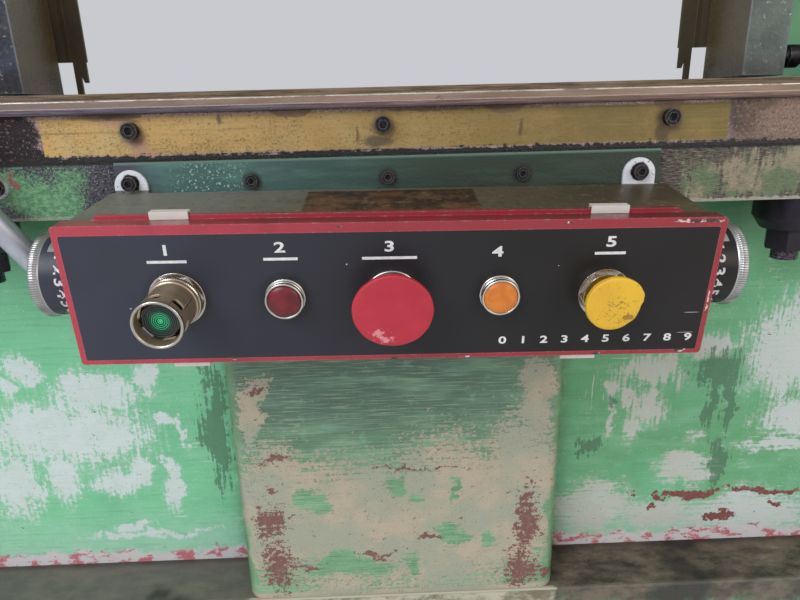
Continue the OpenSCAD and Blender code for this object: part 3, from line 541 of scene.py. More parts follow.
def bolster_mat():
    m = Mt("bolster_steel", 0.4, 0.0)
    xz = m.comb(m.x, m.z, 0.0)
    spk = m.noise(330, 5, 0.7, vec=xz)
    spk2 = m.noise(130, 5, 0.7, vec=xz)
    hor = m.noise(1, 5, 0.6, vec=m.str(12, 520, 1, xz))
    ver = m.noise(1, 5, 0.65, vec=m.str(620, 30, 620))
    onf = m.ss(m.y, -0.328, -0.3295)
    # bare steel
    bare = m.mix(m.ss(ver, 0.3, 0.7), C(118, 92, 90), C(196, 168, 158))
    bare = m.mix(m.ss(m.noise(10, 5, 0.6), 0.45, 0.7), bare, C(120, 104, 108))
    lg = m.blobs([(-330, 888, 22, 26), (-345, 880, 30, 12), (-318, 870, 14, 8)], xz)
    lg = m.ss(m.ma("ADD", lg, m.ma("ADD", mul(m, sub(m, spk2, 0.5), 1.4), mul(m, sub(m, spk, 0.5), 1.2))), 1.15, 0.85)
    rg = m.blobs([(320, 892, 14, 20), (326, 900, 22, 7)], xz)
    rg = m.ss(m.ma("ADD", rg, mul(m, sub(m, spk2, 0.5), 0.8)), 1.3, 0.7)
    bare = m.mix(mul(m, mx(m, lg, mul(m, rg, 0.75)), onf), bare, C(38, 30, 34))
    bare = m.mix(mul(m, m.ss(m.x, 0.30, 0.33), 0.65), bare, C(108, 90, 76))
    bare = m.mix(mul(m, m.ss(spk, 0.57, 0.63), 0.75), bare, C(46, 36, 36))
    bare = m.mix(mul(m, m.ss(spk, 0.44, 0.38), 0.4), bare, C(180, 158, 146))
    # ochre stripe
    ex = m.ma("ADD", m.ma("ABSOLUTE", m.x), mul(m, sub(m, spk2, 0.5), 0.004))
    ez = m.ma("ADD", m.z, mul(m, sub(m, spk2, 0.5), 0.003))
    top = m.ss(ez, 0.9025, 0.9012)
    st = mul(m, mul(m, m.ss(ex, 0.3068, 0.3058), m.ss(ez, 0.8692, 0.8705)), mul(m, onf, top))
    yel = m.mix(m.ss(m.x, -0.3, 0.26), C(192, 154, 92), C(112, 96, 46))
    yel = m.mix(m.ss(m.noise(18, 5, 0.6, vec=xz), 0.42, 0.68), yel, m.mix(m.ss(m.x, -0.3, 0.26), C(188, 162, 108), C(136, 112, 62)))
    yel = m.mix(mul(m, m.ss(hor, 0.5, 0.66), 0.35), yel, C(150, 128, 70))
    yel = m.mix(mul(m, m.ss(spk, 0.54, 0.64), 0.7), yel, C(118, 92, 54))
    yel = m.mix(mul(m, m.ss(spk2, 0.58, 0.70), 0.6), yel, C(104, 82, 52))
    clus = m.noise(26, 5, 0.65, vec=xz)
    yel = m.mix(mul(m, mul(m, m.ss(m.noise(520, 3, 0.7, vec=xz), 0.5, 0.62), m.ss(clus, 0.4, 0.62)), 0.85), yel, C(120, 92, 50))
    yel = m.mix(mul(m, m.ss(clus, 0.52, 0.68), 0.3), yel, C(128, 108, 62))
    lift = mul(m, m.band(m.z, 0.8885, 0.8905, 0.0008), m.ss(hor, 0.4, 0.6))
    yel = m.mix(mul(m, lift, 0.5), yel, C(118, 100, 58))
    st = mul(m, st, m.ss(m.noise(150, 5, 0.75, vec=xz), 0.74, 0.72))
    col = m.mix(st, bare, yel)
    # stains beside the screws and along the seam; brownish half-round marks under the rail
    wv = m.vm("ADD", xz, m.vm("SCALE", m.vm("SUBTRACT", m.noise(90, 4, 0.6, vec=xz, col=True), (0.5, 0.5, 0.5)), 0.006))
    s1 = m.ss(m.blobs([(-227, 888, 10, 11), (-5, 889, 9, 10), (252, 889, 11, 13), (247, 878, 7, 10), (-10, 876, 14, 5)], wv),
              1.35, 0.6)
    s2 = m.ss(m.blobs([(-86, 906, 20, 8), (103, 906, 19, 9), (-235, 904, 18, 5), (250, 904, 14, 7)], wv), 1.08, 0.92)
    s3 = m.ss(m.blobs([(-222, 874, 8, 13), (-214, 868, 12, 5), (-240, 900, 16, 6)], wv), 1.4, 0.6)
    s4 = m.ss(m.blobs([(-150, 898, 2, 5), (-28, 882, 1.6, 7), (118, 884, 1.8, 7), (-252, 903, 26, 3), (60, 903, 80, 2)], wv), 1.5, 0.5)
    col = m.mix(mul(m, mul(m, s3, onf), 0.75), col, C(168, 128, 108))
    col = m.mix(mul(m, mul(m, s1, onf), 0.8), col, C(70, 54, 42))
    col = m.mix(mul(m, mul(m, s2, onf), 0.8), col, C(110, 84, 66))
    col = m.mix(mul(m, mul(m, s4, onf), 0.7), col, C(70, 52, 40))
    seam = mul(m, m.ss(m.ma("ADD", m.z, m.ma("ADD", mul(m, sub(m, spk2, 0.5), 0.016), mul(m, sub(m, hor, 0.5), 0.008))),
                       0.8698, 0.8682), onf)
    col = m.mix(seam, col, m.mix(m.ss(spk, 0.64, 0.68), C(24, 19, 18), C(190, 180, 172)))
    # painted shadow of the overhanging die plate along the top of the front face
    under = mul(m, mul(m, m.ss(m.z, 0.9035, 0.9048), onf), 0.7)
    col = m.mix(under, col, C(52, 40, 36))
    # the rest of the plate
    oth = m.mix(m.noise(20, 5, 0.65), C(128, 118, 112), C(92, 82, 78))
    col = m.mix(onf, oth, col)
    m.set(Base_Color=col, Metallic=mul(m, sub(m, 1.0, mul(m, mx(m, st, seam), onf)), 0.55))
    ro = m.mf(st, 0.36, m.ss(spk, 0.4, 0.7, 0.42, 0.62))
    m.set(Roughness=m.mf(seam, ro, 0.16))
    m.bump(m.ma("ADD", mul(m, spk, 0.8), mul(m, spk2, 0.8)), 0.0009, 0.8)
    return m.m


def die_mat():
    m = Mt("die_plate_steel", 0.34, 0.25)
    xz = m.comb(m.x, m.z, 0.0)
    spk = m.noise(300, 5, 0.7, vec=xz)
    hor = m.noise(1, 5, 0.65, vec=m.str(22, 700, 1, xz))
    cl = m.noise(9, 5, 0.6, vec=m.str(1, 4, 1, xz))
    onf = m.ss(m.y, -0.3255, -0.3275)
    z = m.ma("ADD", m.z, mul(m, sub(m, spk, 0.5), 0.0012))
    # front face: dark steel, its violet tone at the left a painted reflection of the sky
    lower = m.mix(m.ss(m.x, -0.3, 0.2), C(74, 62, 80), C(106, 78, 70))
    lower = m.mix(m.ss(hor, 0.45, 0.7), lower, m.mix(m.ss(m.x, -0.2, 0.3), C(118, 104, 118), C(150, 120, 104)))
    upper = m.mix(m.ss(cl, 0.35, 0.65), C(150, 126, 112), C(124, 102, 84))
    upper = m.mix(m.ss(m.x, -0.1, -0.36), upper, C(112, 96, 92))
    col = m.mix(m.ss(z, 0.9102, 0.9112), lower, upper)
    # painted highlight on the edge between the front face's two bands
    col = m.mix(mul(m, m.band(z, 0.9096, 0.9104, 0.0003), 0.6), col, C(196, 180, 168))
    bev = m.mix(m.ss(hor, 0.4, 0.66), C(84, 68, 56), C(136, 112, 88))
    bev = m.mix(m.ss(cl, 0.5, 0.66), bev, C(128, 104, 92))
    col = m.mix(m.ss(m.z, 0.9156, 0.9162), col, bev)
    # worn bright edge below the bevel, with a painted highlight along it
    line = m.band(z, 0.9152, 0.9163, 0.0003)
    line = mul(m, line, m.ss(m.noise(1, 4, 0.7, vec=m.str(30, 90, 1, xz)), 0.36, 0.52))
    col = m.mix(line, col, C(226, 214, 204))
    # painted shadow along the front face's bottom edge
    col = m.mix(mul(m, m.ss(m.z, 0.9072, 0.9058), 0.7), col, C(44, 34, 34))
    chips = mul(m, m.ss(m.noise(120, 4, 0.7, vec=xz), 0.70, 0.72), m.ss(m.x, 0.1, 0.35, 0.35, 1.0))
    col = m.mix(mul(m, chips, onf), col, C(220, 208, 198))
    dk = m.ss(m.noise(60, 5, 0.7, vec=m.str(0.5, 1.4, 1, xz)), 0.62, 0.70)
    col = m.mix(mul(m, dk, 0.7), col, C(46, 38, 36))
    top = m.mix(m.noise(6, 6, 0.65), C(120, 112, 108), C(84, 76, 72))
    top = m.mix(m.ss(m.noise(1, 4, 0.6, vec=m.str(300, 6, 1)), 0.5, 0.7), top, C(150, 142, 136))
    col = m.mix(onf, top, col)
    m.set(Base_Color=col, Roughness=m.mf(onf, 0.36, m.ss(hor, 0.35, 0.7, 0.22, 0.5)))
    m.set(Metallic=m.mf(onf, 0.75, mul(m, line, 0.8)))
    m.bump(m.ma("ADD", mul(m, hor, 0.8), mul(m, spk, 0.8)), 0.0006, 0.7)
    return m.m


def box_mat():
    """Grey-black sheet steel turning olive-brown to the right, brown rectangular stain; bright lugs behind it."""
    m = Mt("station_box_enamel", 0.36, 0.0)
    a = m.noise(1, 4, 0.55, vec=m.str(5, 14, 14))
    spk = m.noise(420, 4, 0.65)
    c = m.mix(m.ss(m.x, -0.2, -0.02), C(98, 100, 94), C(84, 76, 62))
    c = m.mix(m.ss(m.x, 0.02, 0.22), c, C(64, 54, 38))
    c = m.mix(m.ss(a, 0.4, 0.7), c, m.mix(m.ss(m.x, -0.2, 0.1), C(112, 112, 102), C(80, 70, 50)))
    wob = mul(m, sub(m, m.noise(60, 4, 0.6), 0.5), 0.006)
    sx_ = m.ma("ADD", m.x, wob)
    stain = mul(m, m.band(sx_, -0.073, 0.073, 0.0015), m.band(m.ma("ADD", m.y, wob), -0.418, -0.346, 0.002))
    sc = m.mix(m.ss(m.noise(44, 5, 0.7), 0.4, 0.6), C(40, 22, 14), C(92, 62, 38))
    c = m.mix(mul(m, stain, 0.95), c, sc)
    ds = m.band(sx_, -0.073, 0.073, 0.006)
    c = m.mix(mul(m, mul(m, sub(m, stain, mul(m, ds, m.band(m.ma("ADD", m.y, wob), -0.412, -0.352, 0.004))), stain), 0.8), c, C(40, 24, 18))
    gr = m.noise(150, 5, 0.75)
    c = m.mix(mul(m, m.ss(gr, 0.56, 0.64), 0.55), c, C(44, 36, 28))
    c = m.mix(mul(m, m.ss(gr, 0.42, 0.36), 0.4), c, C(132, 124, 108))
    c = m.mix(mul(m, m.ss(spk, 0.64, 0.7), 0.6), c, C(60, 52, 44))
    c = m.mix(mul(m, m.ss(m.noise(30, 6, 0.7), 0.62, 0.7), 0.4), c, C(52, 42, 32))
    # bright plated lugs with dark oily rings
    ztop = m.ma("ADD", m.ma("MULTIPLY", m.x, -0.0148), 0.8316)
    lug = mul(m, m.ss(m.ma("SUBTRACT", m.z, ztop), 0.0042, 0.005), mul(m, m.ss(m.y, -0.3345, -0.3355), m.ss(m.y, -0.342, -0.3415)))
    near = mx(m, m.ss(m.ma("ABSOLUTE", m.ma("ADD", m.x, 0.2312)), 0.0175, 0.0165),
              m.ss(m.ma("ABSOLUTE", m.ma("ADD", m.x, -0.2255)), 0.0175, 0.0165))
    lug = mul(m, lug, near)
    xz = m.comb(m.x, m.z, 0.0)
    wv = m.vm("ADD", xz, m.vm("SCALE", m.vm("SUBTRACT", m.noise(160, 4, 0.6, vec=xz, col=True), (0.5, 0.5, 0.5)), 0.004))
    ring = m.ss(m.blobs([(-231.2, 845.4, 7.6, 7.8), (-229, 840, 5, 7), (225.5, 843.8, 7.8, 8.0)], wv), 1.1, 0.95)
    lc = m.mix(m.noise(120, 4, 0.6), C(206, 206, 214), C(236, 236, 242))
    lc = m.mix(m.ss(m.noise(200, 4, 0.7, vec=xz), 0.62, 0.66), lc, C(120, 104, 96))
    lc = m.mix(ring, lc, C(40, 32, 30))
    c = m.mix(lug, c, lc)
    m.set(Base_Color=c, Roughness=m.mf(lug, m.ss(a, 0.3, 0.7, 0.42, 0.6), 0.38), Metallic=mul(m, lug, 0.25))
    m.bump(m.ma("ADD", spk, mul(m, a, 2.0)), 0.00025, 0.6)
    return m.m


def red_mat():
    m = Mt("station_red_enamel", 0.3, 0.0, local=True)
    spk = m.noise(520, 4, 0.65)
    cl = m.noise(26, 5, 0.6)
    c = m.mix(m.ss(m.x, -0.25, 0.1), C(176, 52, 70), C(146, 36, 48))
    c = m.mix(mul(m, m.ss(cl, 0.45, 0.7), 0.6), c, C(140, 36, 48))
    topc = m.mix(m.ss(m.noise(12, 4, 0.6), 0.4, 0.65), C(116, 30, 42), C(92, 40, 34))
    topc = m.mix(m.ss(m.x, -0.22, -0.1), C(128, 70, 66), topc)
    topc = m.mix(m.ss(m.x, 0.1, 0.2), topc, C(84, 18, 26))
    up = m.ss(m.normal_z()[2], 0.6, 0.8)
    c = m.mix(up, c, topc)
    e = m.edge(0.0016)
    wear = mul(m, e, m.ss(m.noise(160, 5, 0.75), 0.52, 0.62))
    # the rounded edges a lighter pink: painted highlight; the next mix is real wear to grey
    c = m.mix(mul(m, e, 0.25), c, C(206, 108, 118))
    c = m.mix(wear, c, C(150, 138, 136))
    spots = m.blobs([(232, -1.6, 20, 1.5), (133, -1.5, 2.2, 1.2), (251.5, -70, 0.8, 11), (167, -114, 3, 2), (236, -112, 5, 2), (-130, -113, 2, 1),
                     (0, -114.5, 3, 1), (60, -114.5, 2, 1), (-40, -1.5, 1.5, 1)],
                    m.vm("ADD", m.comb(m.x, m.z, 0.0), m.vm("SCALE", m.vm("SUBTRACT", m.noise(300, 4, 0.6, col=True),
                                                                         (0.5, 0.5, 0.5)), 0.004)))
    sp = m.ss(spots, 1.15, 0.85)
    c = m.mix(sp, c, m.mix(m.ss(m.noise(160, 4, 0.6), 0.48, 0.56), C(70, 40, 40), C(216, 178, 180)))
    dark = m.ss(m.noise(240, 5, 0.75), 0.72, 0.74)
    c = m.mix(mul(m, dark, 0.8), c, C(52, 26, 28))
    m.set(Base_Color=c, Roughness=m.ss(cl, 0.3, 0.7, 0.2, 0.42), Coat_Weight=0.25, Coat_Roughness=0.2)
    m.bump(spk, 0.00018, 0.7)
    return m.m


def panel_mat():
    m = Mt("panel_overlay", 0.34, 0.0, local=True)
    cl = m.noise(9, 5, 0.6)
    gr = m.noise(900, 3, 0.6)
    # darker and warmer from left to right: painted light falloff, cool from the left
    c = m.mix(m.ss(m.x, -0.25, 0.15), C(54, 56, 70), C(27, 24, 24))
    c = m.mix(mul(m, m.ss(cl, 0.4, 0.7), 0.35), c, C(40, 37, 40))
    sc = m.noise(1, 4, 0.7, vec=m.str(8, 1, 500))
    sc = mul(m, m.ss(sc, 0.73, 0.76), m.ss(m.noise(14, 3, 0.6), 0.55, 0.65))
    c = m.mix(mul(m, sc, 0.5), c, C(120, 116, 116))
    d = m.blobs([(-206, -66, 0.8, 0.5), (-36, -32, 0.6, 0.6), (128, -36, 0.4, 0.4), (240, -78, 6, 0.22), (238, -96, 7, 0.2)], m.comb(m.x, m.z, 0.0))
    c = m.mix(m.ss(d, 1.2, 0.8), c, C(190, 184, 184))
    halo = m.blobs([(-168.4, -58.3, 25, 25), (-84.6, -58.3, 20, 20), (-1.4, -55, 34, 30), (82.8, -58.3, 20, 20), (165, -58.3, 26, 26)],
                   m.comb(m.x, m.z, 0.0))
    c = m.mix(mul(m, m.ss(halo, 1.15, 0.85), 0.35), c, C(26, 22, 20))
    m.set(Base_Color=c, Roughness=m.ss(cl, 0.3, 0.7, 0.3, 0.46), Specular_IOR_Level=0.34)
    m.bump(gr, 0.00006, 0.5)
    return m.m


def plain(name, c1, c2, rough=0.4, metal=0.0, sc=40, grain=500, gd=0.0001, **kw):
    """Two close tones in clouds, with fine grain."""
    m = Mt(name, rough, metal)
    cl = m.noise(sc, 5, 0.6)
    c = m.mix(m.ss(cl, 0.35, 0.65), C(*c1), C(*c2))
    m.set(Base_Color=c, Roughness=m.ss(cl, 0.3, 0.7, max(0.03, rough - 0.08), rough + 0.1), **kw)
    m.bump(m.noise(grain, 4, 0.6), gd, 0.6)
    return m


def red_knob():
    m = plain("stop_red_plastic", (188, 44, 62), (176, 38, 56), 0.5, 0.0, 22, 600, 0.00008)
    loc = m.blobs([(-14, 741, 9, 6), (-8, 736, 8, 4)], m.comb(m.x, m.z, 0.0))
    s = mul(m, m.ss(m.ma("ADD", loc, mul(m, sub(m, m.noise(300, 5, 0.75), 0.5), 4.2)), 0.62, 0.35), 0.6)
    base = m.b.inputs["Base Color"].links[0].from_socket
    m.set(Base_Color=m.mix(s, base, C(236, 168, 172)))
    return m.m


def yellow_knob():
    m = plain("top_stop_yellow_plastic", (226, 180, 44), (216, 168, 48), 0.5, 0.0, 30, 500, 0.00012)
    base = m.b.inputs["Base Color"].links[0].from_socket
    g = m.noise(130, 6, 0.75)
    near = m.ss(m.blobs([(168, 754, 14, 13)], m.comb(m.x, m.z, 0.0)), 1.3, 0.3)
    gr = m.ss(m.ma("ADD", m.noise(420, 5, 0.7), mul(m, near, 0.08)), 0.60, 0.68)
    c = m.mix(mul(m, gr, 0.75), base, C(134, 98, 38))
    spot = m.ss(m.ma("ADD", m.blobs([(175, 748, 4.5, 2.2)], m.comb(m.x, m.z, 0.0)), mul(m, sub(m, g, 0.5), 2.0)), 1.1, 0.8)
    c = m.mix(mul(m, spot, 0.7), c, C(120, 84, 40))
    m.set(Base_Color=c)
    return m.m


def lens_mat(name, c1, c2, rough=0.16, emit=0.0, facets=True):
    m = plain(name, c1, c2, rough, 0.0, 60, 700, 0.00005)
    m.set(Coat_Weight=0.25, Coat_Roughness=0.3, IOR=1.45)
    if facets:
        v = m.vor(420, feature="SMOOTH_F1")
        m.bump(v, 0.0003, 0.35)
    if emit:
        m.set(Emission_Strength=emit)
        m.b.inputs["Emission Color"].default_value = C(*c1)
    return m.m


MAT = {}
MAT["bed"] = bed_paint()
MAT["paint"] = press_paint("press_enamel", (116, 184, 140), (96, 160, 118))
MAT["paint_slide"] = press_paint("slide_enamel", (122, 190, 148), (104, 168, 128), wear=0.64)
MAT["cover_paint"] = press_paint("crown_cover_enamel", (124, 192, 146), (104, 170, 124), wear=0.68)
MAT["guard_paint"] = press_paint("guard_enamel", (206, 166, 46), (186, 146, 40), wear=0.70, under=(150, 120, 60))
MAT["motor_paint"] = press_paint("motor_enamel", (86, 116, 128), (70, 98, 110), wear=0.70, under=(150, 156, 158))
MAT["bolster"] = bolster_mat()
MAT["die"] = die_mat()
MAT["black"] = oily_black("oily_black_steel")
MAT["stud"] = oily_black("oily_stud_steel", (34, 28, 34), (112, 98, 112), 0.3)
MAT["nut"] = steel("oily_nut_steel", (74, 68, 80), (52, 48, 56), 0.24, 0.8, (40, 40, 40), (34, 28, 30), 0.5)
MAT["machined"] = steel("machined_steel", (168, 166, 162), (128, 126, 122), 0.3, 0.9, (5, 5, 240))
MAT["shaft"] = steel("turned_steel", (176, 176, 176), (140, 140, 140), 0.24, 0.95, (300, 4, 4), stain_amt=0.25)
MAT["tube"] = steel("galvanised_tube", (176, 180, 196), (206, 208, 220), 0.3, 0.75, (18, 18, 18), (96, 84, 58), 0.35)
MAT["iron"] = cast("grey_cast_iron", (84, 88, 90), (104, 106, 106))
MAT["fly"] = cast("flywheel_iron", (74, 78, 80), (92, 94, 94), 0.45, 0.5)
MAT["bronze"] = steel("turned_bronze", (188, 146, 84), (160, 120, 66), 0.32, 0.9, (260, 4, 4), (86, 60, 34), 0.4)
MAT["belt"] = plain("belt_rubber", (30, 30, 31), (20, 20, 21), 0.7, 0.0, 30, 200, 0.0004).m
MAT["feet"] = cast("levelling_iron", (60, 62, 64), (84, 84, 82))
MAT["box"] = box_mat()
MAT["red"] = red_mat()
MAT["panel"] = panel_mat()
MAT["zinc"] = steel("clip_zinc", (214, 206, 200), (238, 232, 226), 0.42, 0.35, (30, 200, 30), (150, 130, 110), 0.2)
MAT["nickel"] = steel("guard_nickel", (198, 178, 152), (150, 130, 108), 0.34, 0.72, (20, 220, 20), (96, 76, 56), 0.45)
MAT["nickel_b"] = steel("bright_nickel", (214, 206, 198), (176, 168, 160), 0.2, 1.0, (20, 200, 20), (110, 92, 72), 0.3)
MAT["chrome"] = steel("dull_chrome", (226, 222, 216), (190, 186, 180), 0.17, 1.0, (30, 260, 30), (120, 104, 84), 0.25, 0.00004)
MAT["alu"] = steel("cast_aluminium", (200, 198, 198), (164, 162, 164), 0.3, 0.85, (220, 24, 24), (120, 108, 98), 0.3, 0.0001)


def ring_mat():
    """Turned aluminium with a fine knurl round the outer rim."""
    m = Mt("cast_aluminium_ring", 0.32, 0.85, local=True)
    br = m.noise(1, 4, 0.6, vec=m.str(900, 30, 30))
    cl = m.noise(24, 5, 0.6)
    rim = m.ss(m.ma("ABSOLUTE", m.x), 0.2855, 0.286)
    ang = m.ma("ARCTAN2", m.ma("SUBTRACT", m.y, 0.056), m.ma("SUBTRACT", m.z, -0.057))
    tooth = m.ma("SINE", mul(m, ang, 110.0))
    c = m.mix(br, C(206, 204, 204), C(168, 166, 168))
    c = m.mix(mul(m, m.ss(cl, 0.5, 0.7), 0.35), c, C(118, 106, 96))
    c = m.mix(mul(m, mul(m, rim, m.ss(tooth, 0.0, -0.8)), 0.55), c, C(92, 86, 82))
    m.set(Base_Color=c, Roughness=m.ss(cl, 0.3, 0.7, 0.26, 0.42))
    m.bump(m.ma("ADD", mul(m, br, 0.3), mul(m, mul(m, rim, tooth), 0.6)), 0.0004, 0.5)
    return m.m


MAT["redlens"] = lens_mat("red_lens", (122, 22, 36), (88, 14, 26), 0.34)
MAT["amber"] = lens_mat("amber_lens", (212, 122, 38), (184, 98, 26), 0.5, 0.05)


def start_mat():
    """Dark lens; its moulded rings catch green light near the middle."""
    m = Mt("start_lens", 0.16, 0.0, local=True)
    d = m.vm("LENGTH", m.comb(m.ma("ADD", m.x, 0.1684), m.ma("ADD", m.z, 0.0583), 0.0))
    ring = m.ss(m.ma("SINE", mul(m, d, 2 * math.pi / 0.0015)), 0.1, 0.9)
    near = m.ss(d, 0.0085, 0.0055)
    c = m.mix(near, C(34, 50, 46), C(8, 82, 58))
    c = m.mix(mul(m, mul(m, ring, near), 0.9), c, C(44, 176, 120))
    c = m.mix(m.ss(d, 0.0018, 0.001), c, C(56, 176, 120))
    m.set(Base_Color=c, Coat_Weight=0.6, Coat_Roughness=0.1, IOR=1.49, Emission_Color=c,
          Emission_Strength=mul(m, near, 0.28))
    return m.m


MAT["green"] = start_mat()
MAT["ring"] = ring_mat()
MAT["redknob"] = red_knob()
MAT["yelknob"] = yellow_knob()
MAT["blackpl"] = plain("black_plastic", (28, 28, 30), (18, 18, 20), 0.34, 0.0, 30, 500, 0.0001).m
MAT["contact"] = plain("contact_plastic", (74, 86, 96), (60, 72, 82), 0.45).m
MAT["ink"] = plain("white_ink", (226, 224, 226), (206, 204, 206), 0.5, 0.0, 300, 900, 0.00002).m
MAT["junction"] = press_paint("junction_enamel", (142, 146, 146), (120, 124, 124), wear=0.72, under=(90, 92, 92))
MAT["leadm"] = oily_black("lead_sheath", (16, 16, 17), (44, 44, 46), 0.3)
MAT["braket"] = None
MAT["olive"] = steel("olive_bracket", (84, 74, 52), (66, 56, 40), 0.42, 0.2, (24, 24, 24), (40, 32, 24), 0.5)
MAT["inside"] = plain("dark_inside", (24, 24, 26), (16, 16, 18), 0.7).m


def bracket_mat():
    m = Mt("station_bracket_enamel", 0.3)
    xz = m.comb(m.x, m.z, 0.0)
    v = m.noise(1, 5, 0.6, vec=m.str(10, 60, 1, xz))
    spk = m.noise(380, 4, 0.7, vec=xz)
    c = m.mix(m.ss(m.x, -0.22, 0.1), C(66, 98, 94), C(44, 56, 44))
    c = m.mix(m.ss(v, 0.42, 0.7), c, m.mix(m.ss(m.x, -0.2, 0.1), C(84, 126, 118), C(50, 68, 56)))
    wet = mul(m, m.ss(spk, 0.56, 0.66), m.ss(m.blobs([(-160, 842, 40, 30)], xz), 1.3, 0.4))
    c = m.mix(wet, c, C(190, 214, 208))
    c = m.mix(m.ss(m.x, -0.20, -0.235), c, C(64, 62, 78))
    sc = m.ss(m.blobs([(-124.3, 844.8, 9, 9), (-2.2, 844.8, 9, 9), (119.3, 844.8, 9, 9)], xz), 1.2, 0.7)
    c = m.mix(mul(m, sc, 0.75), c, C(36, 34, 32))
    edge_ = m.ss(m.z, 0.8605, 0.8628)
    c = m.mix(edge_, c, C(96, 122, 110))
    c = m.mix(mul(m, m.ss(spk, 0.66, 0.7), 0.6), c, C(38, 40, 38))
    m.set(Base_Color=c, Roughness=m.ss(v, 0.3, 0.7, 0.18, 0.4))
    m.bump(m.ma("ADD", spk, v), 0.0005, 0.6)
    return m.m


def post_mat(left):
    m = Mt("curtain_post_left_enamel" if left else "curtain_post_right_enamel", 0.3)
    spk = m.noise(240, 5, 0.75)
    e = m.edge(0.003)
    a, b = ((30, 32, 42), (52, 54, 68)) if left else ((58, 70, 66), (78, 92, 86))
    c = m.mix(m.ss(m.noise(30, 5, 0.6), 0.4, 0.65), C(*a), C(*b))
    inner = m.ss(m.ma("ABSOLUTE", m.x), 0.3485, 0.3475)
    ic = m.mix(m.noise(30, 4, 0.6), C(70, 60, 40), C(92, 80, 54))
    c = m.mix(inner, c, ic)
    c = m.mix(mul(m, m.ss(spk, 0.63, 0.67), sub(m, 1.0, inner)), c, C(206, 206, 214))
    c = m.mix(mul(m, e, 0.8), c, C(150, 152, 168))
    low = m.ss(m.z, 0.955, 0.93)
    c = m.mix(mul(m, low, 0.5), c, C(34, 26, 24))
    m.set(Base_Color=c, Roughness=m.ss(spk, 0.4, 0.7, 0.2, 0.4))
    m.bump(spk, 0.0005, 0.6)
    return m.m



def screw_mat():
    """Oily black screws; the flange bolt keeps a bright washer."""
    m = Mt("oily_screw_steel", 0.28, 0.55)
    g = m.noise(330, 5, 0.65)
    cl = m.noise(40, 5, 0.65)
    e = m.edge(0.0012)
    col = m.mix(m.ss(g, 0.4, 0.7), C(20, 18, 19), C(64, 58, 60))
    col = m.mix(mul(m, m.ss(cl, 0.55, 0.7), 0.5), col, C(62, 46, 36))
    col = m.mix(mul(m, e, 0.55), col, C(150, 146, 150))
    d = m.vm("LENGTH", m.comb(m.ma("ADD", m.x, 0.3536), m.ma("SUBTRACT", m.z, 0.8446), 0.0))
    wash = mul(m, m.ss(d, 0.0074, 0.0079), m.ss(d, 0.012, 0.0115))
    col = m.mix(wash, col, m.mix(m.ss(cl, 0.45, 0.6), C(222, 220, 224), C(160, 152, 150)))
    m.set(Base_Color=col, Roughness=m.ss(cl, 0.3, 0.7, 0.18, 0.48))
    m.bump(m.ma("ADD", g, cl), 0.0004, 0.6)
    return m.m


MAT["screws"] = screw_mat()
MAT["braket"] = bracket_mat()
MAT["postL"] = post_mat(True)
MAT["postR"] = post_mat(False)

# ---------------------------------------------------------------- CAD nodes: finish and softened edges
DRESS = {
    "bed": ("bed", 1.6), "levelling_feet": ("feet", 1.5), "upright_left": ("paint", 2), "upright_right": ("paint", 2),
    "crown": ("paint", 2.5), "tie_rods": ("stud", 1), "tie_rod_nuts": ("black", 1.2), "bolster_plate": ("bolster", 0.7),
    "die_plate": ("die", 0.5), "hold_down_studs": ("stud", 0.8), "hold_down_nuts": ("nut", 0.9),
    "gibs": ("machined", 1), "bed_base": ("bed", 1.6), "crown_cover": ("cover_paint", 1), "screws": ("screws", 0.4),
    "crank_bushes": ("bronze", 1), "flywheel_carrier": ("iron", 1), "flywheel_guard": ("guard_paint", 2),
    "motor": ("motor_paint", 1), "drive_belt": ("belt", 1), "balance_cylinder_left": ("iron", 1.5),
    "balance_cylinder_right": ("iron", 1.5), "curtain_post_left": ("postL", 1.0), "curtain_post_right": ("postR", 1.0),
    "curtain_bracket_left": ("olive", 0.4), "curtain_bracket_right": ("olive", 0.4), "curtain_leads": ("leadm", 0.6),
    "junction_box": ("junction", 2), "station_conduit": ("tube", 0), "station_bracket": ("braket", 0),
    "station_box": ("box", 0.5), "station_cover": ("red", 0.7), "station_panel": ("panel", 0), "cover_clips": ("zinc", 0.25),
    "act_guard": ("nickel", 0.5), "act_nut": ("nickel_b", 0.35), "palm_light_bezel": ("chrome", 0.4),
    "palm_light_lens": ("redlens", 0), "mute_light_bezel": ("chrome", 0.4), "mute_light_lens": ("amber", 0),
    "stop_collar": ("chrome", 0.5), "top_stop_collar": ("nickel_b", 0.4), "ring_guard_left": ("ring", 0.8),
    "ring_guard_right": ("ring", 0.8), "ring_plates": ("panel", 0.15), "contact_blocks": ("contact", 0.5),
    "act_button": ("green", 0.5), "stop_button": ("redknob", 0.8), "top_stop_button": ("yelknob", 0.8),
    "palm_button_left": ("blackpl", 1.5), "palm_button_right": ("blackpl", 1.5), "slide": ("paint_slide", 2),
    "balance_rods": ("shaft", 0.5), "crankshaft": ("shaft", 1), "clutch_drum": ("iron", 1.5), "flywheel": ("fly", 2),
    "motor_shaft": ("shaft", 0.5), "motor_pulley": ("iron", 0.8), "pitman_left": ("iron", 2), "pitman_right": ("iron", 2),
}
for name, (mat, bev) in DRESS.items():
    if name not in N:
        continue
    o = N[name]
    o.data.materials.clear()
    o.data.materials.append(MAT[mat])
    for p in o.data.polygons:
        p.material_index = 0
    if bev:
        w = o.modifiers.new("weld", "WELD")
        w.merge_threshold = 0.00002
        b = o.modifiers.new("round", "BEVEL")
        b.width = bev / 1000
        b.segments = 2
        b.limit_method = "ANGLE"
        b.angle_limit = rad(38)
        b.use_clamp_overlap = True
        o.data.polygons.foreach_set("use_smooth", [True] * len(o.data.polygons))
        q = o.modifiers.new("normals", "WEIGHTED_NORMAL")
        q.weight = 100
        q.keep_sharp = False

# ---------------------------------------------------------------- mesh kit


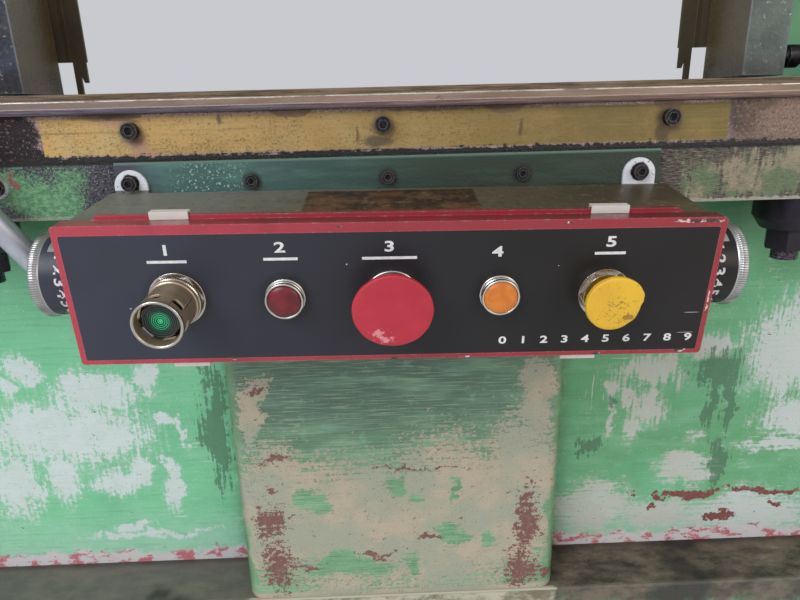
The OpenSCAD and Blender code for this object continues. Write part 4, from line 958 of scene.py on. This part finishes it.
def add(name, verts, faces, mat, body, M=None, smooth=35.0, scale=0.001):
    """A piece from points in millimetres."""
    me = bpy.data.meshes.new(name)
    me.from_pydata([tuple(c * scale for c in v) for v in verts], [], faces)
    bm = bmesh.new()
    bm.from_mesh(me)
    bmesh.ops.remove_doubles(bm, verts=bm.verts, dist=1e-7)
    bmesh.ops.recalc_face_normals(bm, faces=bm.faces)
    bm.to_mesh(me)
    bm.free()
    if M is not None:
        me.transform(M)
    me.materials.append(mat)
    if smooth:
        me.polygons.foreach_set("use_smooth", [True] * len(me.polygons))
        me.set_sharp_from_angle(angle=rad(smooth))
    o = bpy.data.objects.new(name, me)
    scn.collection.objects.link(o)
    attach(o, body)
    return o


def lathe_data(profile, seg=96, mod=None, turn=0.0):
    """Solid of revolution about Z; profile is (r, h) from one end of the axis or an inner edge to the other."""
    V, F = [], []
    rows = []
    for r, h in profile:
        if r < 1e-6:
            V.append((0, 0, h))
            rows.append([len(V) - 1] * seg)
        else:
            row = []
            for i in range(seg):
                a = 2 * math.pi * i / seg + turn
                q = mod(r, h, a) if mod else r
                V.append((q * math.cos(a), q * math.sin(a), h))
                row.append(len(V) - 1)
            rows.append(row)
    for a, b in zip(rows, rows[1:]):
        for i in range(seg):
            j = (i + 1) % seg
            f = [a[i], a[j], b[j], b[i]]
            g = []
            for q in f:
                if q not in g:
                    g.append(q)
            if len(g) > 2:
                F.append(g)
    return V, F


def axis_matrix(direction, at):
    """Puts a lathe's +Z along a direction, from a point in millimetres."""
    d = Vector(direction).normalized()
    return Matrix.Translation(Vector(at) * 0.001) @ d.to_track_quat("Z", "Y").to_matrix().to_4x4()


def lathe(name, profile, mat, body, direction, at, seg=96, mod=None, M=None, smooth=35.0):
    V, F = lathe_data(profile, seg, mod)
    A = axis_matrix(direction, at)
    return add(name, V, F, mat, body, (M @ A) if M is not None else A, smooth)


def arc(cx_, cy_, r, a0, a1, n):
    return [(cx_ + r * math.cos(rad(a0 + (a1 - a0) * i / n)), cy_ + r * math.sin(rad(a0 + (a1 - a0) * i / n))) for i in range(n + 1)]


def rbox(name, x0, x1, y0, y1, z0, z1, r, mat, body, M=None, seg=2):
    """Box with rounded edges, in millimetres."""
    bm = bmesh.new()
    bmesh.ops.create_cube(bm, size=1.0)
    for v in bm.verts:
        v.co = Vector((x0 + (v.co.x + 0.5) * (x1 - x0), y0 + (v.co.y + 0.5) * (y1 - y0), z0 + (v.co.z + 0.5) * (z1 - z0)))
    bmesh.ops.bevel(bm, geom=list(bm.edges), offset=r, segments=seg, affect="EDGES", profile=0.5)
    V = [tuple(v.co) for v in bm.verts]
    F = [[v.index for v in f.verts] for f in bm.faces]
    bm.free()
    return add(name, V, F, mat, body, M)


def hexhead(name, x, y, z, r, h, mat, body, direction=(0, -1, 0), M=None, washer=True):
    """Hexagon bolt head with a chamfered top, on its washer."""
    V, F = [], []
    if washer:
        a, b = lathe_data([(0, 0), (r * 1.3, 0), (r * 1.3, h * 0.16), (0, h * 0.16)], 32)
        V += a
        F += b
    k = len(V)
    for zz, q in ((h * 0.16, 1.0), (h * 0.9, 1.0), (h, 0.86)):
        for i in range(6):
            a = math.pi * i / 3
            V.append((r * q * math.cos(a), r * q * math.sin(a), zz))
    for L in range(2):
        for i in range(6):
            j = (i + 1) % 6
            F.append([k + L * 6 + i, k + L * 6 + j, k + L * 6 + 6 + j, k + L * 6 + 6 + i])
    F.append([k + 12 + i for i in range(6)])
    F.append([k + 5 - i for i in range(6)])
    A = axis_matrix(direction, (x, y, z))
    return add(name, V, F, mat, body, (M @ A) if M is not None else A, 30)


def join(name, objs):
    """Joins pieces of one body and one material list into one."""
    base = objs[0]
    bm = bmesh.new()
    mats = []
    for o in objs:
        me = o.data
        off = []
        for q in me.materials:
            if q not in mats:
                mats.append(q)
            off.append(mats.index(q))
        n0 = len(bm.faces)
        bm.from_mesh(me)
        bm.faces.ensure_lookup_table()
        for f in bm.faces[n0:]:
            f.material_index = off[f.material_index] if off else 0
    bm.to_mesh(base.data)
    bm.free()
    base.data.materials.clear()
    for q in mats:
        base.data.materials.append(q)
    base.name = name
    for o in objs[1:]:
        bpy.data.objects.remove(o)
    base.data.polygons.foreach_set("use_smooth", [True] * len(base.data.polygons))
    base.data.set_sharp_from_angle(angle=rad(35))
    return base


OUT = (0, -1, 0)     # out of the station's panel, local
RZ = -58.3
AX, PX, SX, MX, TX = -168.4, -84.6, -1.4, 82.8, 165.0

# ---------------------------------------------------------------- the station's buttons
# long guard tube: knurled base ring and bright lip on the CAD tube
lathe("act_guard_lip", [(16.4, 45.8)] + arc(17.55, 47.0, 1.15, 180, 0, 12) + [(18.7, 45.8), (16.4, 45.8)], MAT["nickel_b"],
      "frame", OUT, (AX, 0, RZ), 96, M=ST)
lathe("act_guard_knurl", [(18.3, 4.7), (19.6, 4.7), (20.2, 5.2), (20.2, 8.6), (19.6, 9.2), (18.3, 9.2), (18.3, 4.7)],
      MAT["nickel_b"], "frame", OUT, (AX, 0, RZ), 240,
      mod=lambda r, h, a: r + (0.22 * math.cos(a * 80) if r > 20 else 0), M=ST)
lathe("act_guard_step", [(18.1, 9.2), (19.1, 9.4), (19.3, 10.2), (19.1, 11.8), (18.1, 12.4), (18.1, 9.2)],
      MAT["nickel"], "frame", OUT, (AX, 0, RZ), 96, M=ST)
# green start button with moulded rings
prof = [(0, 25.9), (13.6, 25.9), (14.0, 26.4), (14.0, 38.6), (13.4, 39.8)]
r = 12.8
while r > 1.0:
    prof += [(r, 39.9), (r - 0.3, 40.5), (r - 0.8, 40.5), (r - 1.1, 39.8)]
    r -= 1.5
prof += [(0.5, 40.2), (0, 40.4)]
btn = lathe("start_button", prof, MAT["green"], "act_button", OUT, (AX, 0, RZ), 96, M=ST, smooth=25)
stem = lathe("start_stem", [(0, -15.9), (11.7, -15.9), (11.7, 26.2), (0, 26.2)], MAT["contact"], "act_button", OUT,
             (AX, 0, RZ), 48, M=ST)
btn = join("start_button", [btn, stem])
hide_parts("act_button")

# pilot lights: two turned rings and a screw ring each
for nm, x, node in (("palm_light_rings", PX, "palm_light_bezel"), ("mute_light_rings", MX, "mute_light_bezel")):
    prof = ([(9.1, -21.9), (14.5, -21.9), (14.5, -0.1), (15.6, 0.0), (15.8, 0.3), (15.8, 1.6)] + arc(15.0, 1.9, 0.8, 0, 80, 5)
            + [(14.6, 2.9), (14.5, 3.4)] + [(14.9, 3.7), (15.1, 4.1), (15.1, 5.2), (14.9, 5.5), (14.5, 5.8), (14.5, 6.3)]
            + [(14.85, 6.7), (14.85, 8.6)] + arc(13.95, 8.9, 0.95, 0, 170, 9) + [(13.15, 8.4), (13.1, 2.0), (9.1, 2.0), (9.1, -21.9)])
    o = lathe(nm, prof, MAT["chrome"], "frame", OUT, (x, 0, RZ), 96, M=ST)
    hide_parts(node)
for nm, x, node, mt, sl in (("palm_lens_dome", PX, "palm_light_lens", "redlens", "red_lens"),
                            ("mute_lens_dome", MX, "mute_light_lens", "amber", "amber_lens")):
    prof = [(0, 2.1), (13.0, 2.1), (13.0, 9.0)] + [(12.95 * math.cos(rad(t)), 9.0 + 4.0 * math.sin(rad(t))) for t in range(6, 91, 6)]
    prof[-1] = (0, prof[-1][1])
    o = lathe(nm, prof, MAT[mt], "frame", OUT, (x, 0, RZ), 72, M=ST)
    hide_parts(node)

# red mushroom: flat face with a thin rim over a conical back
prof = [(0, -15.9), (10.7, -15.9), (10.7, 15.5), (20.6, 15.6), (29.0, 22.6)] + arc(29.1, 24.1, 1.4, -60, 0, 4) + \
       [(30.5, 26.0)] + arc(28.9, 26.3, 1.6, 0, 84, 6) + [(26, 28.0), (16, 28.15), (8, 28.2), (0, 28.2)]
o = lathe("stop_mushroom", prof, MAT["redknob"], "stop_button", OUT, (SX, 0, RZ), 128,
          mod=lambda r, h, a: r + (0.12 * math.sin(5 * a) + 0.07 * math.sin(13 * a + 1) if r > 27 else 0), M=ST)
for v in o.data.vertices:                                    # the old head droops on its stem
    q = ST.inverted() @ v.co
    if -q.y > 0.0154:
        q.y -= 0.0028 + 0.13 * (q.z - RZ / 1000)
        q.z -= 0.0010
        v.co = ST @ q
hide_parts("stop_button")
prof = [(11.1, -19.9), (14.5, -19.9), (14.5, -0.1), (21.6, 0.0), (22.0, 0.5), (22.0, 3.6)] + arc(21.0, 3.9, 1.0, 0, 80, 4) + \
       [(19.8, 5.1), (19.4, 5.7), (19.4, 7.7)] + arc(18.2, 7.8, 1.2, 0, 90, 4) + [(12.4, 9.0), (11.1, 8.6), (11.1, -19.9)]
o = lathe("stop_ring", prof, MAT["chrome"], "frame", OUT, (SX, 0, RZ), 96, M=ST)
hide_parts("stop_collar")


# yellow mushroom: worn to an uneven outline, with a lobe high on its right
OUTLINE = [(-90, 0.955), (-65, 0.935), (-50, 0.925), (-40, 0.94), (-33, 0.95), (-25, 0.935), (-5, 0.94), (10, 1.02), (20, 1.07),
           (36, 1.06), (60, 1.01), (90, 0.97), (135, 0.955), (180, 0.95), (225, 0.955), (270, 0.955)]


def bite(r, h, a):
    """The head's own outline, fading in from the stem outwards."""
    if r < 12:
        return r
    ang = math.degrees(a) % 360
    ang = ang - 360 if ang > 270 else ang
    f = 1.0
    for (a0, f0), (a1, f1) in zip(OUTLINE, OUTLINE[1:]):
        if a0 <= ang <= a1:
            t = (ang - a0) / (a1 - a0)
            t = t * t * (3 - 2 * t)
            f = f0 + (f1 - f0) * t
    k = min(1.0, (r - 12) / 10.0)
    return r * (1 + (f - 1) * k) + 0.10 * k * math.sin(9 * a)


A = ST @ Matrix.Translation((TX / 1000, 0, RZ / 1000)) @ Matrix.Rotation(rad(90), 4, "X")
prof = [(0, -15.9), (10.7, -15.9), (10.7, 15.0), (14.0, 15.1), (20.8, 21.4)] + arc(21.0, 22.8, 1.2, -60, 0, 3) + \
       [(22.2, 24.8)] + arc(20.6, 25.2, 1.6, 0, 82, 5) + [(18, 26.8), (9, 27.1), (0, 27.2)]
V, F = lathe_data(prof, 180, bite)
o = add("top_stop_mushroom", V, F, MAT["yelknob"], "top_stop_button", A)
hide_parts("top_stop_button")

# ring guards: knurled rim, polished bevel, deep bowl, and the palm button
for s, nm in ((-1, "left"), (1, "right")):
    prof = [(12.6, 250.0), (33.4, 250.0), (34.0, 250.8), (34.0, 284.4), (34.5, 285.0), (35.3, 286.6), (35.6, 287.4)]
    prof += [(36.0, 287.9), (36.2, 288.4), (36.2, 292.0), (35.8, 292.6), (34.8, 293.0), (33.2, 293.0), (31.4, 292.7),
             (30.1, 292.0), (29.5, 291.0), (29.5, 257.0), (28.6, 256.1), (12.6, 256.0), (12.6, 250.0)]
    o = lathe("ring_guard_turned_" + nm, prof, MAT["ring"], "frame", (s, 0, 0), (0, 56, -57), 300,
              mod=lambda r, h, a: r + (0.26 * math.cos(a * 100) if 288.2 < h < 292.2 and r > 35 else 0), M=ST, smooth=50)
    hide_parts("ring_guard_" + nm)
    prof = [(0, 238.1), (12.2, 238.1), (12.2, 262.4), (25.6, 262.6), (26.4, 263.6), (26.5, 270.0), (25.8, 273.6), (23.5, 276.6),
            (19.5, 278.8), (13, 279.8), (0, 280.0)]
    o = lathe("palm_cap_" + nm, prof, MAT["blackpl"], "palm_button_" + nm, (s, 0, 0), (0, 56, -57), 72, M=ST)
    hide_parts("palm_button_" + nm)

# ---------------------------------------------------------------- plain numerals and bars


def glyph(name, text, size, wide=1.0, bold=0.0, depth=0.1):
    cu = bpy.data.curves.new(name, "FONT")
    cu.body = text
    cu.size = size
    cu.align_x = "CENTER"
    cu.align_y = "CENTER"
    cu.offset = bold
    cu.extrude = depth
    cu.resolution_u = 3
    t = bpy.data.objects.new(name + "_t", cu)
    scn.collection.objects.link(t)
    bpy.context.view_layer.update()
    me = bpy.data.meshes.new_from_object(t)
    V = [(v.co.x * wide, v.co.y, v.co.z) for v in me.vertices]
    F = [list(p.vertices) for p in me.polygons]
    bpy.data.objects.remove(t)
    return V, F


def bar(x0, x1, y0, y1, d=0.1):
    V = [(x, y, z) for z in (-d, d) for x, y in ((x0, y0), (x1, y0), (x1, y1), (x0, y1))]
    return V, [[3, 2, 1, 0], [4, 5, 6, 7], [0, 1, 5, 4], [1, 2, 6, 5], [2, 3, 7, 6], [3, 0, 4, 7]]


def merge(parts):
    V, F = [], []
    for v, f, (dx, dy) in parts:
        k = len(V)
        V += [(a + dx, b + dy, c) for a, b, c in v]
        F += [[i + k for i in q] for q in f]
    return V, F


PANEL = ST @ Matrix.Translation((0, -0.00004, 0)) @ Matrix.Rotation(rad(90), 4, "X")   # x right, y up, z out
parts = []
for i, (x, z, w_) in enumerate(((-172, -21.5, 15), (-86, -20.5, 13), (-3, -21, 21), (80, -24, 0), (167, -20, 12))):
    v, f = glyph("num%d" % i, str(i + 1), 11.5, 1.5, 0.28)
    parts.append((v, f, (x, z + (2.6 if w_ else 0))))
    if w_:
        v, f = bar(-w_, w_, -1.1, 1.1)
        parts.append((v, f, (x, z - 6.3)))
for i in range(10):
    v, f = glyph("dig%d" % i, str(i), 9.0, 1.45, 0.2)
    parts.append((v, f, (88 + i * 17.0, -100.3)))
V, F = merge(parts)
o = add("panel_numerals", V, F, MAT["ink"], "frame", PANEL, 0)

# digits that read downwards round each ring guard's black plate, and the plate's pale edge line
for s, nm in ((-1, "left"), (1, "right")):
    allv, allf = [], []
    for k in range(6):
        ang = rad(137 + k * 17.0)
        v, f = glyph("rg%d" % k, str(k + 1), 12.4, 1.25, 0.3, 0.05)
        kk = len(allv)
        for a, b, c in v:
            rr = 34.86 + c
            aa = ang + a / 34.9
            allv.append((s * 268.5 + b, 56 + rr * math.cos(aa), -57 + rr * math.sin(aa)))
        allf += [[i + kk for i in q] for q in f]
    kk = len(allv)
    for k in range(25):
        aa = rad(130 + k * 4.0)
        for xx, rr in ((256.0, 34.84), (257.3, 34.84), (257.3, 34.92), (256.0, 34.92)):
            allv.append((s * xx, 56 + rr * math.cos(aa), -57 + rr * math.sin(aa)))
    for k in range(24):
        for q in range(4):
            j = (q + 1) % 4
            allf.append([kk + 4 * k + q, kk + 4 * k + j, kk + 4 * k + 4 + j, kk + 4 * k + 4 + q])
    allf += [[kk, kk + 1, kk + 2, kk + 3], [kk + 99, kk + 98, kk + 97, kk + 96]]
    o = add("ring_numerals_" + nm, allv, allf, MAT["ink"], "frame", ST, 0)

# ---------------------------------------------------------------- conduit: one bent tube with couplings


def fillet_path(P, R, n=10):
    out = [Vector(P[0])]
    for a, b, c in zip(P, P[1:], P[2:]):
        a, b, c = Vector(a), Vector(b), Vector(c)
        u, v = (a - b).normalized(), (c - b).normalized()
        half = u.angle(v) / 2
        t = min(R / math.tan(half), 0.46 * (a - b).length, 0.46 * (c - b).length)
        p0, p1 = b + u * t, b + v * t
        for i in range(n + 1):
            q = i / n
            out.append(p0 * (1 - q) ** 2 + b * 2 * q * (1 - q) + p1 * q * q)
    out.append(Vector(P[-1]))
    return out


def tube(name, path, r, mat, body, seg=40, cap=True, mod=None):
    V, F = [], []
    n = len(path)
    t0 = (path[1] - path[0]).normalized()
    nrm = t0.orthogonal().normalized()
    prev = t0
    for i, p in enumerate(path):
        t = ((path[i + 1] if i < n - 1 else path[i]) - (path[i - 1] if i else path[i])).normalized()
        nrm = prev.rotation_difference(t) @ nrm
        nrm = (nrm - t * nrm.dot(t)).normalized()
        bi = t.cross(nrm)
        prev = t
        for k in range(seg):
            a = 2 * math.pi * k / seg
            rr = r if mod is None else mod(i, a)
            V.append(tuple(p + (nrm * math.cos(a) + bi * math.sin(a)) * rr))
    for i in range(n - 1):
        for k in range(seg):
            j = (k + 1) % seg
            F.append([i * seg + k, i * seg + j, (i + 1) * seg + j, (i + 1) * seg + k])
    if cap:
        F.append(list(range(seg - 1, -1, -1)))
        F.append([(n - 1) * seg + k for k in range(seg)])
    return add(name, V, F, mat, body, None, 40)


YF, ZB = -330.0, 865.0
CP = [(-660, -65, 245), (-660, -65, 160), (-403.5, -57, 63), (-345.5, -20, -55), (-323, -6, -100), (-301, 26, -113),
      (-236, 30, -113), (-229.3, -4.5, -108.4)]
CP = [(x, YF + y, ZB + z) for x, y, z in CP]
cond = tube("conduit_tube", fillet_path(CP, 60), 11.2, MAT["tube"], "frame")
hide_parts("station_conduit")
lathe("conduit_nut", [(11.4, 0), (17, 0), (18, 1), (18, 9), (17, 10), (11.4, 10), (11.4, 0)], MAT["tube"], "frame", (0, 0, -1),
      (-660, -395, 1106), 8, smooth=20)
lathe("conduit_ferrule", [(11.3, 9.6), (14.6, 9.6), (15, 10.4), (15, 26), (14.2, 27.4), (11.3, 28), (11.3, 9.6)], MAT["tube"], "frame",
      (0, 0, -1), (-660, -395, 1106), 64)

# ---------------------------------------------------------------- threads


def thread(name, x, y, z0, z1, r, pitch, mat, body, direction=(0, 0, 1), depth=None):
    depth = depth or pitch * 0.5
    per = 24
    turns = (z1 - z0) / pitch
    n = int(turns * 4) + 1
    V, F = [], []
    for i in range(n + 1):
        z = z0 + (z1 - z0) * i / n
        for k in range(per):
            ph = (z / pitch + k / per) % 1.0
            d = abs(ph - 0.5) * 2
            V.append(((r - depth * (1 - d)) * math.cos(2 * math.pi * k / per), (r - depth * (1 - d)) * math.sin(2 * math.pi * k / per), z - z0))
    for i in range(n):
        for k in range(per):
            j = (k + 1) % per
            F.append([i * per + k, i * per + j, (i + 1) * per + j, (i + 1) * per + k])
    F.append(list(range(per - 1, -1, -1)))
    F.append([n * per + k for k in range(per)])
    return add(name, V, F, mat, body, axis_matrix(direction, (x, y, z0)), 60)


ts = []
for sx_ in (-1, 1):
    for sy_ in (-1, 1):
        ts.append(thread("stud_thread%d%d" % (sx_, sy_), sx_ * 419, sy_ * 270, 741.2, 752.4, 13.3, 3.0, MAT["stud"], "frame"))
        ts.append(thread("rod_thread%d%d" % (sx_, sy_), sx_ * 675, sy_ * 180, 2725.2, 2746.6, 25.5, 5.0, MAT["stud"], "frame"))
join("stud_threads", ts)

# ---------------------------------------------------------------- small fittings on the rest of the press
bits = []
for x in (-690, -600, 600, 690):
    for z in (2040, 2200, 2360, 2520, 2620):
        bits.append(hexhead("cb", x, -270, z, 13, 10, MAT["black"], "frame"))
        bits.append(hexhead("cb", x, 270, z, 13, 10, MAT["black"], "frame", (0, 1, 0)))
for x in (-450, -150, 150, 450):
    for z in (2010, 2620):
        bits.append(hexhead("cb", x, 270, z, 13, 10, MAT["black"], "frame", (0, 1, 0)))
join("crown_bolts", bits)

bits = []
for k in range(16):
    a = rad(-158 + k * 316 / 15 - 90)
    y, z = 415 * math.cos(a), 2320 + 415 * math.sin(a)
    bits.append(hexhead("gb", 1000, y, z, 8, 6, MAT["black"], "frame", (1, 0, 0)))
bits.append(hexhead("gb", 1000, 0, 2925, 8, 6, MAT["black"], "frame", (1, 0, 0)))
join("guard_bolts", bits)
bits = []
for i in range(9):       # cooling louvres on the guard's face
    z = 2200 + i * 30
    V, F = [], []
    hw_ = 110
    n = 8
    for j in range(n + 1):
        t = j / n
        V += [(1000.0, -hw_ + 2 * hw_ * t, z), (1000 + 7.5 * math.sin(math.pi * min(1, max(0, t)) ** 0.9) ** 0.4 if 0 < t < 1 else 1000.0,
                                                -hw_ + 2 * hw_ * t, z + 6), (1000.0, -hw_ + 2 * hw_ * t, z + 20)]
    for j in range(n):
        a = 3 * j
        F += [[a, a + 1, a + 4, a + 3], [a + 1, a + 2, a + 5, a + 4]]
    F.append([3 * j for j in range(n + 1)] + [3 * j + 2 for j in range(n, -1, -1)])
    bits.append(add("lv%d" % i, V, F, MAT["guard_paint"], "frame", None, 60))
join("guard_louvres", bits)

# motor: fan cover with slots, terminal box lid and its screws, foot bolts
prof = [(0, 0), (40, 0), (40, 2), (46, 2), (46, 0), (58, 0), (58, 2), (64, 2), (64, 0), (76, 0), (76, 2), (82, 2), (82, 0), (96, 0),
        (103, 4), (107, 12), (107, 26), (0, 26)]
lathe("motor_fan_cover", prof, MAT["motor_paint"], "frame", (1, 0, 0), (414, 0, 2815), 72, smooth=30)
rbox("terminal_lid", 514, 626, -170, -162, 2769, 2881, 3, MAT["motor_paint"], "frame")
bits = [hexhead("mf", x, y, 2687, 11, 9, MAT["black"], "frame", (0, 0, 1)) for x in (505, 665) for y in (-100, 100)]
for x in (522, 618):
    for z in (2777, 2873):
        bits.append(hexhead("mt", x, -170, z, 4, 3, MAT["black"], "frame"))
join("motor_bolts", bits)

# junction box: door seam, latch, hinges and screws
rbox("junction_door", -722, -598, -440.5, -436, 1113, 1357, 1.8, MAT["junction"], "frame")
bits = [rbox("jl", -607, -601, -446, -440, 1222, 1248, 1.4, MAT["zinc"], "frame")]
for z in (1150, 1320):
    V, F = lathe_data([(0, 0), (4.5, 0), (4.8, 0.4), (4.8, 25.6), (4.5, 26), (0, 26)], 24)
    bits.append(add("jh", V, F, MAT["zinc"], "frame", axis_matrix((0, 0, 1), (-727, -438, z - 13))))
for x in (-712, -608):
    for z in (1123, 1347):
        V, F = lathe_data([(0, 0), (4.2, 0), (4.2, 1.2), (3.2, 2.2), (0, 2.4)], 24)
        bits.append(add("js", V, F, MAT["zinc"], "frame", axis_matrix((0, -1, 0), (x, -440.4, z))))
join("junction_fittings", bits)

# curtain posts: lens strip in the groove with its lenses, ribbed lead
for s, nm in ((-1, "left"), (1, "right")):
    x0 = s * 350
    bits = []
    bits.append(rbox("ls", min(x0, x0 - s * 2.2), max(x0, x0 - s * 2.2), -240.5, -222.5, 1056, 1558, 0.8, MAT["inside"], "frame"))
    for k in range(14):
        V, F = lathe_data([(0, 0), (6.4, 0), (6.4, 0.7), (5.2, 0.9), (0, 0.5)], 24)
        bits.append(add("le", V, F, MAT["redlens"], "frame", axis_matrix((-s, 0, 0), (s * 347.9, -231.5, 1080 + k * 35))))
    join("curtain_lens_" + nm, bits)
    prof = [(0, 0), (8.4, 0)]
    for k in range(9):
        prof += [(8.4, k * 4.0 + 0.4), (9.2, k * 4.0 + 1.2), (9.2, k * 4.0 + 2.6), (8.4, k * 4.0 + 3.4)]
    prof += [(6.4, 38), (6.4, 40), (0, 40)]
    lathe("lead_boot_" + nm, prof, MAT["leadm"], "frame", (s, 0, 0), (s * 432, -236.2, 944), 48)

# slide: gib bolts on the uprights' inner edges; bolts on the pitmans
bits = []
for s in (-1, 1):
    for z in (1260, 1400, 1540, 1680, 1770):
        bits.append(hexhead("gi", s * 575, -200, z, 9, 8, MAT["black"], "frame"))
        bits.append(hexhead("gi", s * 575, 200, z, 9, 8, MAT["black"], "frame", (0, 1, 0)))
join("gib_bolts", bits)
bits = []
for s in (-1, 1):
    for y in (-1, 1):
        for z in (-18, 18):
            bits.append(hexhead("pb", s * 300, y * 138, 2345 + z, 9, 8, MAT["black"], "pitman_left" if s < 0 else "pitman_right", (0, y, 0)))
join("pitman_bolts_left", bits[:4])
join("pitman_bolts_right", bits[4:])

# ---------------------------------------------------------------- floor
me = bpy.data.meshes.new("floor")
me.from_pydata([(-14, -14, 0), (14, -14, 0), (14, 14, 0), (-14, 14, 0)], [], [[0, 1, 2, 3]])
fm = plain("floor_pale", (214, 214, 212), (206, 206, 204), 0.6, 0.0, 2, 60, 0.0004)
me.materials.append(fm.m)
fl = bpy.data.objects.new("floor", me)
scn.collection.objects.link(fl)
